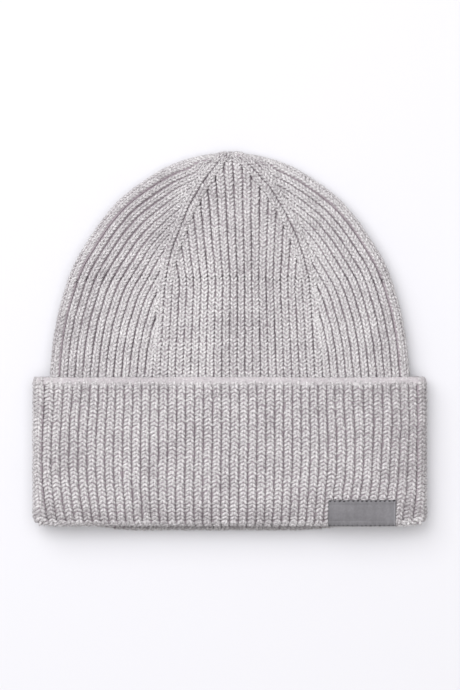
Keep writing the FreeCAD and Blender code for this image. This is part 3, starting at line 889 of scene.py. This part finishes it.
def knit_cuff_rib(batch, side, hand, k):
    path = knit_path(*cuff_rib(side, hand, k, cuff_rib_heights(side, hand, k)))
    batch.cord(path, half_rib(path.pitch), 1.15, lift=-0.2)
    x, y, _ = path.place.T
    # the cuff is the inside out end of the tube, so its stitches point the other way, and the ribs
    # that turn round the side are spread; the front's stitches carry painted shade in their tone
    batch.stitches(path.lifted(0.14).upended(), path.pitch / (4.20 if k in FLAT else 3.84),
                   tone=cuff_painted_shading(x, y) if side > 0 else 0.0)
    if k in FLAT:
        # the side that lies against the tube: the ribs between
        path = path.part(slice(1, -1))
        between = path.lifted(-0.42).place + path.across * (path.pitch * 0.5)[:, None]
        path = path._replace(place=between, along=-path.along, out=-path.out)
        batch.stitches(path, path.pitch / 4.15, template=PLAIN, height=0.85)


for side, word in SIDES:
    for hand, hand_word in HANDS:
        batch = Batch()
        for k in FLAT:
            knit_cuff_rib(batch, side, hand, k)
        finish_knit(batch, f"{word}_cuff_{hand_word}_knit", f"cuff_{word}", f"{word}_cuff")

for hand, word in HANDS:
    batch = Batch()
    for side, _ in SIDES:
        for k in TURNING:
            knit_cuff_rib(batch, side, hand, k)
        # its next rib lies inside the neighbouring panel, so that no gap opens as they turn
        k = FLAT.start
        points, facing, width = cuff_rib(side, hand, k, cuff_rib_heights(side, hand, k))
        path = knit_path(points - facing * 0.35, facing, width)
        batch.cord(path, 0.5 * path.pitch, 0.6, lift=-0.1)
        batch.stitches(path.upended(), path.pitch / 4.4, template=PLAIN, height=0.8)
    finish_knit(batch, f"{word}_cuff_side_knit", f"cuff_side_{word}", f"{word}_cuff_side",
                f"{word}_side_turn")

# ---------------------------------------------------------------- rolled cast-on edge

# Rows of stitches on the roll: shift up, shift outwards, backward tilt and width.
WELT_ROWS = ((-2.05, 0.10, 0.0, 1.0), (-0.25, 0.02, 0.10, 1.08), (1.15, -0.42, 0.75, 1.12))
UP = np.array([0.0, 1.0, 0.0])


def welt_y(x, side):
    return WELT_MID + 0.25 * smooth_noise(x, side * 40.0, 23.0, 53) - 0.15


def welt_roll(batch, side, hand, ribs):
    """The oval roll under the stitches. It swells a little with each rib."""
    start, end = ribs.start * PITCH, ribs.stop * PITCH
    count, corners = int((end - start) / 0.55), 14
    arc = np.linspace(start, end, count)
    inset, rise, out_x, out_z = CUFF_PROFILE.at(arc)
    x = hand * (CUFF_EDGE - inset)
    middle = xyz(x, welt_y(x, side), Z_MID + side * rise * CUFF_PROFILE.height)
    out = xyz(hand * out_x, 0.0, side * out_z)
    swell = np.cos(2 * np.pi * arc / PITCH)
    angle = np.arange(corners) / corners * 2 * np.pi
    verts = (
        middle[:, None, :]
        + np.cos(angle)[None, :, None] * UP * (2.25 + 0.06 * swell)[:, None, None]
        + np.sin(angle)[None, :, None] * out[:, None, :] * (1.22 - 0.10 * swell)[:, None, None]
    )
    quads = tube_quads(count, corners)
    if side * hand > 0:
        quads = quads[:, ::-1]
    first, last = tube_ends(count, corners)
    batch.add(verts.reshape(-1, 3), [quads, first, last[:, ::-1]], 0.2, 0.45)


def welt_stitches(batch, side, hand, k):
    (x, _, z), facing, rib_width = cuff_station(side, hand, k, WELT_LOW)
    for shift_up, shift_out, tilt, wide in WELT_ROWS:
        along = UP * np.cos(tilt) - facing * np.sin(tilt)
        out = facing * np.cos(tilt) + UP * np.sin(tilt)
        across = np.cross(along, out)
        place = np.array([x, welt_y(x, side) + shift_up, z]) + facing * shift_out
        width = rib_width * wide / 4.35
        # the front's welt stitches are darkened with painted shade
        batch.stitches(
            Path(place[None], -along[None], -across[None], out[None]), width, 0.86,
            height=0.86, tone=-2.1 if side > 0 else -0.5)
        behind = place - facing * (0.35 + 2 * shift_out)
        batch.stitches(
            Path(behind[None], -along[None], across[None], (-out if tilt < 0.2 else out)[None]),
            width, 0.86, PLAIN, height=0.6, tone=0.35)


def welt_piece(quarters, ribs, word, body, turn=None):
    batch = Batch()
    for side, hand in quarters:
        welt_roll(batch, side, hand, ribs)
        for k in ribs:
            welt_stitches(batch, side, hand, k)
    finish_knit(batch, f"{word}_cast_on_edge", f"cuff_welt_{word}", body, turn)


for side, word in SIDES:
    welt_piece([(side, -1), (side, 1)], FLAT, word, f"{word}_cuff")
for hand, word in HANDS:
    welt_piece([(1, hand), (-1, hand)], TURNING, word, f"{word}_cuff_side", f"{word}_side_turn")

# ---------------------------------------------------------------- folds at the bottom

OVERRUN = 0.12                     # radians each bend runs past its half turn
# painted shade on the yarn bent round the fold, where it lies in shadow, from the tube round to the
# cuff
FOLD_PAINTED_SHADE = {
    1: np.array([-2.8, -3.6, -2.5, -1.0, 0.0]), -1: np.array([0.0, -1.0, -3.5, -5.0, -4.6]),
}


def fold_piece(side, word):
    """The bend that joins the tube to the cuff. The ribs run round it."""
    batch = Batch()
    bend = np.linspace(-OVERRUN, np.pi + OVERRUN, 15)
    crossed = (1 - np.cos(bend)) / 2
    picks = np.array([2, 5, 8, 11, 14])
    radius = HALF_LAYER + 0.1
    for hand, _ in HANDS:
        for k in FLAT:
            centre_y = fold_y(side, k, hand)
            (start_x, _, _), _, width = cuff_station(side, hand, k, centre_y)
            home = home_x(hand, (k + 0.5) * PITCH)
            end_x = home * (1 - (1 - TUBE_EDGE / CUFF_EDGE) * 0.9)
            plump = 1 + 0.10 * smooth_noise(start_x, side * 9.0, 5.0, 61)
            points = xyz(
                start_x + (end_x - start_x) * crossed,
                centre_y - radius * plump * np.sin(bend),
                FOLD_Z[side] + side * radius * np.cos(bend),
            )
            facing = xyz(0.0, -np.sin(bend), side * np.cos(bend))
            path = framed(points, facing, width + (PITCH * 0.92 - width) * crossed)
            batch.cord(path, half_rib(path.pitch), 1.05, lift=-0.05)
            path = path.part(picks)
            batch.stitches(path.lifted(0.20), path.pitch / 4.15, 0.92, tone=FOLD_PAINTED_SHADE[side])
    piece = finish_knit(batch, f"{word}_fold_knit", f"cuff_fold_{word}")
    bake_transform(piece)


def side_fold_pieces(hand, word):
    """The bends of the turning ribs: a half that stays with the tube, one that turns."""
    turns, stays = Batch(), Batch()
    bend = np.linspace(-OVERRUN, np.pi + OVERRUN, 13)
    cos, sin = np.cos(bend)[:, None], np.sin(bend)[:, None]
    for side, _ in SIDES:
        for k in TURNING:
            y = fold_y(side, k, hand)
            cuff_end, cuff_facing, width = cuff_station(side, hand, k, y)
            inset, rise, out_x, out_z = TUBE_PROFILE.at((k + 0.5) * SIDE_PITCH)
            tube_end = np.array([
                hand * (TUBE_EDGE - inset), y, Z_MID + side * rise * TUBE_PROFILE.height,
            ])
            tube_facing = np.array([hand * out_x, 0.0, side * out_z])
            arm = (cuff_end - tube_end) / 2
            reach = 1.55 + 0.12 * (np.linalg.norm(arm) - 1.55)
            points = (cuff_end + tube_end) / 2 + arm * cos - UP * (reach * sin)
            facing = np.where(cos > 0, cuff_facing, tube_facing) * cos - UP * sin
            pitch = np.interp(bend, [0, np.pi], [width, PITCH * 0.86])
            path = framed(points, facing, pitch)
            for batch, run, picks in (
                (turns, slice(0, 8), [0, 2, 4, 6]), (stays, slice(6, 13), [8, 10]),
            ):
                batch.cord(path.part(run), 0.43 * pitch[run], 0.9, lift=-0.15)
                batch.stitches(path.part(picks).lifted(0.22), pitch[picks] / 4.1, 0.9)
    finish_knit(stays, f"{word}_fold_tube_knit", f"cuff_fold_{word}", "hat_body")
    finish_knit(turns, f"{word}_fold_cuff_knit", f"cuff_fold_{word}", f"{word}_cuff_side",
                f"{word}_side_turn")


for side, word in SIDES:
    fold_piece(side, word)
for hand, word in HANDS:
    side_fold_pieces(hand, word)


# ---------------------------------------------------------------- closing yarn and seam

def closing_yarn():
    """A few turns drawn tight round the gathered rib ends, and the tucked tail."""
    low, high = node_box("crown_closing_yarn")
    centre_x, centre_y, centre_z = (low + high) / 2
    batch = Batch()
    angle = np.linspace(0, 2 * np.pi * 3.2, 140)
    turns = angle / (2 * np.pi)
    radius = 2.15 - 0.22 * turns + 0.10 * np.sin(angle * 5.3)
    coil = xyz(
        centre_x + radius * np.cos(angle),
        centre_y - 1.35 + 0.14 * turns + 0.10 * np.sin(angle * 2.7),
        centre_z + radius * np.sin(angle),
    )
    batch.yarn(coil, 0.52 + 0.05 * np.sin(angle * 9), tone=0.1, painted_recess_shade=0.25)
    run = np.linspace(0, 1, 16)
    tail = xyz(
        centre_x - 1.2 + 2.4 * run, centre_y - 0.95 - 0.5 * run ** 2,
        centre_z + 0.9 * np.sin(run * 3.1),
    )
    batch.yarn(tail, 0.5, tone=0.1, painted_recess_shade=0.2)
    finish_knit(batch, "closing_yarn", "crown_closing_yarn", "hat_body")


def seam_lacing():
    """Centre back seam: two strands wind up its length, half a turn apart."""
    low, high = node_box("centre_back_seam")
    batch = Batch()
    turns = int((high[1] - low[1]) / ROW)
    angle = np.linspace(0, 2 * np.pi * turns, turns * 10)
    y = low[1] + 0.6 + (high[1] - low[1] - 1.2) * angle / angle[-1]
    z = low[2]
    if low[2] < 1:
        # a seam that starts this low lies 3.1 mm higher below the join
        z = np.interp(y, [JOIN_Y - 1.5, JOIN_Y + 1.5], [low[2] + 3.1, low[2]])
    for phase in (0.0, np.pi):
        wind = angle + phase
        strand = xyz(0.78 * np.sin(wind), y + 0.35 * np.cos(wind), z + 0.42 - 0.16 * np.cos(wind))
        batch.yarn(strand, 0.34, corners=5, painted_recess_shade=0.3)
    piece = batch.mesh("seam_lacing")
    register(piece, "centre_back_seam", "hat_body")
    return piece


closing_yarn()
seam_piece = seam_lacing()


# ---------------------------------------------------------------- labels and their threads

def sheet(name, x_span, y_span, z, thick, counts, lie, weave, soft, shade=None):
    """A thin closed tape. lie bends both faces, weave is relief on the upper one only, and
    soft is how far the upper face's rim drops."""
    (x_low, x_high), (y_low, y_high), (columns, rows) = x_span, y_span, counts
    x, y = np.meshgrid(np.linspace(x_low, x_high, columns), np.linspace(y_low, y_high, rows))
    rim = np.minimum.reduce([x - x_low, x_high - x, y - y_low, y_high - y])
    bend = lie(x, y)
    upper = bend + weave(x, y) - soft * clamp(1 - rim / 0.45) ** 2
    count = columns * rows
    verts = np.concatenate([
        xyz(x, y, z + upper).reshape(-1, 3), xyz(x, y, z + bend - thick).reshape(-1, 3),
    ])
    i = np.arange(rows - 1)[:, None] * columns + np.arange(columns - 1)[None, :]
    top = np.stack([i, i + 1, i + 1 + columns, i + columns], -1).reshape(-1, 4)
    ring = np.concatenate([
        np.arange(columns - 1), np.arange(columns - 1, count - 1, columns),
        np.arange(count - 1, count - columns, -1), np.arange(count - columns, 0, -columns),
    ])
    following = np.roll(ring, -1)
    wall = np.stack([following, ring, ring + count, following + count], -1)
    tone = np.zeros(count * 2)
    if shade:
        tone[:count] = shade(x, y).reshape(-1)
    batch = Batch()
    batch.add(verts, [top, top[:, ::-1] + count, wall], tone, 0.0)
    return batch.mesh(name)


THREAD_RUN = np.linspace(0, 1, 9)


def thread_stitch(batch, x, y, ground, lift, bury, ply_y, ply_z, radius):
    """One sewn stitch of two twisted strands, arched over the tape with its ends sunk in."""
    buried = (THREAD_RUN < 0.01) | (THREAD_RUN > 0.99)
    z = ground + 0.02 + lift * np.sin(np.pi * THREAD_RUN) ** 0.5 - bury * buried
    for strand in (0, 1):
        angle = THREAD_RUN * 7.0 + strand * np.pi
        batch.yarn(xyz(x, y + ply_y * np.cos(angle), z + ply_z * np.sin(angle)), radius)


# Blank woven tape on the front cuff: a raised top strip, fine picks and one selvedge line.
label_low, label_high = node_box("woven_label")
LABEL_LEFT, LABEL_RIGHT = label_low[0] + 0.9, label_high[0] - 0.4
LABEL_LOW, LABEL_TOP = label_low[1], label_high[1] + 0.7
LABEL_Z = FRONT_CUFF[1][2] + 0.55
STRIP_HEIGHT = 0.16
PICK = 0.34                        # pitch of the weft


def label_lie(x, y):
    """The tape follows the cuff, its ribs and a slight bow, and tucks in at the bottom."""
    across = (x - LABEL_LEFT) / (LABEL_RIGHT - LABEL_LEFT)
    up = (y - LABEL_LOW) / (LABEL_TOP - LABEL_LOW)
    ribs = 0.09 * np.cos(2 * np.pi * (x - LABEL_LEFT) / PITCH + 0.7)
    bow = 0.15 * np.sin(np.pi * across) * (0.4 + 0.6 * up)
    ripple = 0.10 * np.cos(3.1 * across + 2.0 * up)
    tuck = 0.35 * clamp(0.14 - up) / 0.14
    return cuff_wave(x, np.maximum(y, FOLD_Y[1]), 1) + bow + ribs + ripple - tuck


def label_weave(x, y):
    weft = 0.016 * np.cos(2 * np.pi * y / PICK)
    warp = 0.012 * np.cos(2 * np.pi * x / 0.46 + np.pi * np.floor(y / PICK))
    return weft + warp + STRIP_HEIGHT * (np.abs(y - (LABEL_TOP - 1.0)) < 0.95)


# The tape's lightness: its own selvedge line and grain, with a painted shadow under the raised strip
# and painted shade along its side and top rims, towards its tucked-in bottom and towards its left
# end.
def label_tone_and_shade(x, y):
    selvedge = 0.9 * (np.abs(x - (LABEL_RIGHT - 0.85)) < 0.22)
    strip_shadow = 0.55 * (np.abs(y - (LABEL_TOP - 2.1)) < 0.17)
    rim = np.minimum.reduce([x - LABEL_LEFT, LABEL_RIGHT - x, LABEL_TOP - y])
    shade = selvedge - strip_shadow - 0.6 * clamp(1 - rim / 0.5)
    shade = shade - 0.7 * clamp((LABEL_LOW + 4.0 - y) / 4.0)
    shade = shade - 0.25 * clamp((LABEL_LEFT + 5 - x) / 5)
    return shade + 0.22 * smooth_noise(x, y * 3, 7.0, 71)


label = sheet("label_tape", (LABEL_LEFT, LABEL_RIGHT), (LABEL_LOW, LABEL_TOP), LABEL_Z, 0.42,
              (220, 150), label_lie, label_weave, soft=0.3, shade=label_tone_and_shade)
register(label, "woven_label", "front_cuff")


def label_thread(place, y_line, ground, lift, radius, draw_length):
    batch = Batch()
    count = 15
    step = (LABEL_RIGHT - LABEL_LEFT - 1.0) / (count - 0.5)
    for i in range(count):
        start = LABEL_LEFT + 0.6 + i * step + rng.normal(0, 0.10)
        x = start + draw_length() * THREAD_RUN
        y = y_line + rng.normal(0, 0.05) + 0.05 * (THREAD_RUN - 0.5)
        thread_stitch(batch, x, y, label_lie(x, y) + ground, lift, bury=0.35, ply_y=0.11,
                      ply_z=0.09, radius=radius)
    piece = batch.mesh(f"label_thread_{place}")
    register(piece, f"label_stitches_{place}", "front_cuff")
    return piece


stitch_low, stitch_high = node_box("label_stitches_bottom")
threads = [
    label_thread("top", LABEL_TOP - 0.45, LABEL_Z + STRIP_HEIGHT, lift=0.20, radius=0.2755,
                 draw_length=lambda: 0.60 + abs(rng.normal(0, 0.28))),
    label_thread("bottom", (stitch_low[1] + stitch_high[1]) / 2 - 0.4, LABEL_Z, lift=0.04,
                 radius=0.19, draw_length=lambda: 0.5 + rng.normal(0, 0.06)),
]

# Blank care label: a satin tab of two leaves.
care_low, care_high = node_box("care_label")
CARE_Z = care_low[2] + 0.25
CARE_UPPER = 0.42                  # the upper leaf's height above that


def care_lie(x, y):
    across = (x - care_low[0]) / (care_high[0] - care_low[0])
    down = (care_high[1] - y) / (care_high[1] - care_low[1])
    return (0.30 * down * np.sin(np.pi * across)
            + 0.35 * down ** 2 * np.sin(2.4 * across + 0.5))


def care_weave(x, y):
    return 0.012 * np.cos(2 * np.pi * (x + y) / 0.40)


care_upper = sheet(
    "care_tab_upper", (care_low[0], care_high[0]), (care_low[1], care_high[1]),
    CARE_Z + CARE_UPPER, 0.16, (110, 150), care_lie, care_weave, soft=0.06)
# the lower leaf is shorter and lies flatter
care_lower = sheet(
    "care_tab_lower", (care_low[0] + 0.2, care_high[0] + 0.15),
    (care_low[1] + 1.6, care_high[1]), CARE_Z + 0.12, 0.14, (60, 80),
    lambda x, y: 0.35 * care_lie(x, y), lambda x, y: 0.35 * care_weave(x, y), soft=0.05)
for leaf in (care_upper, care_lower):
    register(leaf, "care_label", "hat_body")


def care_thread():
    low, high = node_box("care_label_stitches")
    batch = Batch()
    count = 6
    step = (high[0] - low[0]) / (count - 0.4)
    for i in range(count):
        x = low[0] + i * step + step * 0.62 * THREAD_RUN
        thread_stitch(batch, x, (low[1] + high[1]) / 2, CARE_Z + CARE_UPPER, lift=0.22,
                      bury=0.2, ply_y=0.10, ply_z=0.08, radius=0.17)
    piece = batch.mesh("care_tab_thread")
    register(piece, "care_label_stitches", "hat_body")
    return piece


threads.append(care_thread())


# ---------------------------------------------------------------- materials

def feed(node, inputs):
    """Sets a node's inputs: a socket is linked, anything else is the input's own value."""
    for key, value in inputs.items():
        if isinstance(value, bpy.types.NodeSocket):
            node.id_data.links.new(value, node.inputs[key])
        else:
            node.inputs[key].default_value = value


def add_node(tree, kind, inputs=None, **settings):
    node = tree.nodes.new("ShaderNode" + kind)
    for key, value in settings.items():
        setattr(node, key, value)
    feed(node, inputs or {})
    return node


def new_material(name):
    material = bpy.data.materials.new(name)
    material.use_nodes = True
    tree = material.node_tree
    return material, tree, tree.nodes["Principled BSDF"]


def object_coords(tree):
    return add_node(tree, "TexCoord").outputs["Object"]


def attribute(tree, name):
    return add_node(tree, "Attribute", attribute_name=name).outputs["Fac"]


def noise(tree, coords, scale, detail, roughness=0.5):
    inputs = {"Vector": coords, "Scale": scale, "Detail": detail, "Roughness": roughness}
    return add_node(tree, "TexNoise", inputs).outputs["Fac"]


def multiply_add(tree, value, factor, added):
    inputs = {0: value, 1: factor, 2: added}
    return add_node(tree, "Math", inputs, operation="MULTIPLY_ADD").outputs[0]


def multiply_colour(tree, inputs):
    """Input 6 is the colour and 7 what it is multiplied by."""
    return add_node(tree, "Mix", inputs, data_type="RGBA", blend_type="MULTIPLY").outputs[2]


def colour_ramp(tree, factor, first, last, middle=None):
    """Each stop is (position, colour)."""
    ramp = add_node(tree, "ValToRGB", {"Fac": factor})
    elements = ramp.color_ramp.elements
    for element, (position, colour) in zip(elements, (first, last)):
        element.position = position
        element.color = (*colour, 1)
    if middle:
        elements.new(middle[0]).color = (*middle[1], 1)
    return ramp.outputs["Color"]


def wool_material():
    material, tree, shader = new_material("heather_wool")
    coords = object_coords(tree)
    # heather: light and dark fibres mixed in the yarn
    flecks = noise(tree, coords, scale=900.0, detail=3.0, roughness=0.65)
    patches = noise(tree, coords, scale=70.0, detail=3.0)
    mix = multiply_add(tree, attribute(tree, "tone"), factor=0.052, added=0.0)
    mix = multiply_add(tree, flecks, factor=0.9, added=mix)
    mix = multiply_add(tree, patches, factor=0.5, added=mix)
    colour = colour_ramp(
        tree, mix, first=(0.42, (0.425, 0.405, 0.410)), last=(0.98, (0.732, 0.720, 0.712)),
        middle=(0.70, (0.620, 0.603, 0.603)))
    # painted shade: the purl channels between the ribs and the low parts of the stitches are
    # darkened
    recess_shade_colour = (0.45, 0.385, 0.425, 1)
    colour = multiply_colour(
        tree, {"Factor": attribute(tree, "painted_recess_shade"), 6: colour, 7: recess_shade_colour})
    # two plies are twisted into the yarn; the groove between them dips, and is darkened with painted
    # shade
    size = add_node(tree, "Math", {0: attribute(tree, "ply")}, operation="ABSOLUTE")
    crest = add_node(tree, "MapRange", {"Value": size.outputs[0], "From Max": 0.6},
                     interpolation_type="SMOOTHSTEP").outputs["Result"]
    shade = add_node(tree, "MapRange", {"Value": crest, "To Min": 0.72}).outputs["Result"]
    colour = multiply_colour(tree, {"Factor": 1.0, 6: colour, 7: shade})
    fibre = noise(tree, coords, scale=2400.0, detail=4.0, roughness=0.7)
    fuzz = add_node(tree, "Bump", {"Strength": 0.60, "Distance": 0.0004, "Height": fibre})
    plies = add_node(tree, "Bump", {"Strength": 0.7, "Distance": 0.0002, "Height": crest})
    feed(fuzz, {"Normal": plies.outputs["Normal"]})
    feed(shader, {
        "Base Color": colour, "Roughness": 0.92, "Specular IOR Level": 0.25,
        "Sheen Weight": 0.14, "Sheen Roughness": 0.5, "Sheen Tint": (0.95, 0.93, 0.95, 1),
        "Normal": fuzz.outputs["Normal"],
    })
    feed(shader, {"Roughness": multiply_add(tree, fibre, factor=0.15, added=0.82)})
    return material


def tape_material():
    material, tree, shader = new_material("woven_tape")
    coords = object_coords(tree)
    tone = attribute(tree, "tone")
    picks = add_node(tree, "TexWave", {"Vector": coords, "Scale": 460.0, "Distortion": 0.6},
                     wave_type="BANDS", bands_direction="Y").outputs["Fac"]
    grain = noise(tree, coords, scale=900.0, detail=3.0)
    toned = add_node(tree, "Math", {0: tone, 1: 0.5}, operation="MULTIPLY_ADD")
    feed(toned, {2: multiply_add(tree, picks, factor=0.12, added=0.34)})
    mix = multiply_add(tree, grain, factor=0.5, added=toned.outputs[0])
    colour = colour_ramp(tree, mix, first=(0.0, (0.085, 0.083, 0.086)),
                         last=(1.0, (0.222, 0.218, 0.230)))
    bump = add_node(tree, "Bump", {"Strength": 0.35, "Distance": 0.0001, "Height": picks})
    feed(shader, {
        "Base Color": colour, "Roughness": 0.5, "Specular IOR Level": 0.35,
        "Sheen Weight": 0.15, "Normal": bump.outputs["Normal"],
    })
    return material


def fibre_material(name, dark, light, scale, roughness, sheen, bump_strength):
    """Mottled fibre between two colours, with bumps to match."""
    material, tree, shader = new_material(name)
    mottle = noise(tree, object_coords(tree), scale, detail=4.0)
    colour = colour_ramp(tree, mottle, first=(0.3, dark), last=(0.7, light))
    bump = add_node(
        tree, "Bump", {"Strength": bump_strength, "Distance": 0.00015, "Height": mottle})
    feed(shader, {
        "Base Color": colour, "Roughness": roughness, "Sheen Weight": sheen,
        "Normal": bump.outputs["Normal"],
    })
    return material


def dress(pieces, material):
    for piece in pieces:
        piece.data.materials.append(material)


dress(WOOL_PIECES, wool_material())
dress([seam_piece], fibre_material(
    "seam_yarn_wool", dark=(0.40, 0.375, 0.39), light=(0.66, 0.63, 0.65), scale=800.0,
    roughness=0.9, sheen=0.3, bump_strength=0.5))
dress([label], tape_material())
dress(threads, fibre_material(
    "stitch_thread_polyester", dark=(0.006, 0.006, 0.007), light=(0.028, 0.027, 0.030),
    scale=1500.0, roughness=0.55, sheen=0.1, bump_strength=0.4))
dress([care_upper, care_lower], fibre_material(
    "care_satin_white", dark=(0.74, 0.74, 0.73), light=(0.86, 0.86, 0.85), scale=1200.0,
    roughness=0.38, sheen=0.2, bump_strength=0.2))


# ---------------------------------------------------------------- stage (metres)

def add_floor():
    low_z = float(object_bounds()[0][2])
    bpy.ops.mesh.primitive_plane_add(size=6.0, location=(0, 0, low_z - 0.0001))
    floor = bpy.context.object
    floor.name = "floor"
    material, tree, shader = new_material("pale_floor")
    # away from the hat the floor glows, to the camera only, so that it stays as pale
    position = add_node(tree, "NewGeometry").outputs["Position"]
    distance = add_node(tree, "VectorMath", {0: position}, operation="LENGTH")
    glow = add_node(tree, "MapRange", {
        "Value": distance.outputs["Value"], "From Min": 0.40, "From Max": 1.60, "To Max": 0.60,
    }, interpolation_type="SMOOTHSTEP")
    seen = add_node(tree, "LightPath").outputs["Is Camera Ray"]
    strength = add_node(tree, "Math", {0: glow.outputs["Result"], 1: seen},
                        operation="MULTIPLY")
    feed(shader, {
        "Base Color": (0.678, 0.680, 0.696, 1), "Roughness": 0.7, "Specular IOR Level": 0.2,
        "Emission Color": (0.97, 0.97, 1.0, 1), "Emission Strength": strength.outputs["Value"],
    })
    dress([floor], material)


def add_light(name, location, size, power):
    """A disk light aimed at the origin."""
    light = bpy.data.lights.new(name, "AREA")
    light.shape = "DISK"
    light.size = size
    light.energy = power
    light.color = (0.967, 0.96, 1.0)
    lamp = bpy.data.objects.new(name, light)
    lamp.location = location
    aim = Vector((0, 0, 0)) - Vector(location)
    lamp.rotation_euler = aim.to_track_quat("-Z", "Y").to_euler()
    bpy.context.scene.collection.objects.link(lamp)


def add_world():
    world = bpy.data.worlds.new("studio")
    bpy.context.scene.world = world
    world.use_nodes = True
    tree = world.node_tree
    ambient = tree.nodes["Background"]
    feed(ambient, {"Color": (1.0, 0.975, 0.945, 1), "Strength": 0.42})
    # seen directly, the studio wall is a pale backdrop
    wall = add_node(tree, "Background", {"Color": (0.90, 0.90, 0.93, 1)})
    seen = add_node(tree, "LightPath").outputs["Is Camera Ray"]
    mix = add_node(tree, "MixShader", {0: seen, 1: ambient.outputs[0], 2: wall.outputs[0]})
    feed(tree.nodes["World Output"], {"Surface": mix.outputs[0]})


def add_camera():
    """Looks straight down."""
    lens, sensor = 100.0, 36.0     # millimetres
    view_height = 0.366804         # what fills the frame's height at the cuff
    cuff_height = 0.014
    data = bpy.data.cameras.new("camera")
    camera = bpy.data.objects.new("camera", data)
    bpy.context.scene.collection.objects.link(camera)
    bpy.context.scene.camera = camera
    data.lens = lens
    data.sensor_fit = "VERTICAL"
    data.sensor_height = sensor
    data.clip_end = 10
    camera.location = (0.00013, -0.00213, view_height * lens / sensor + cuff_height)


add_floor()
add_light("key", location=(-0.84, 1.06, 1.90), size=2.0, power=34.2)
add_light("fill", location=(0.0, 0.15, 1.7), size=1.8, power=23.0)
add_world()
add_camera()
bpy.context.scene.view_settings.view_transform = "Standard"
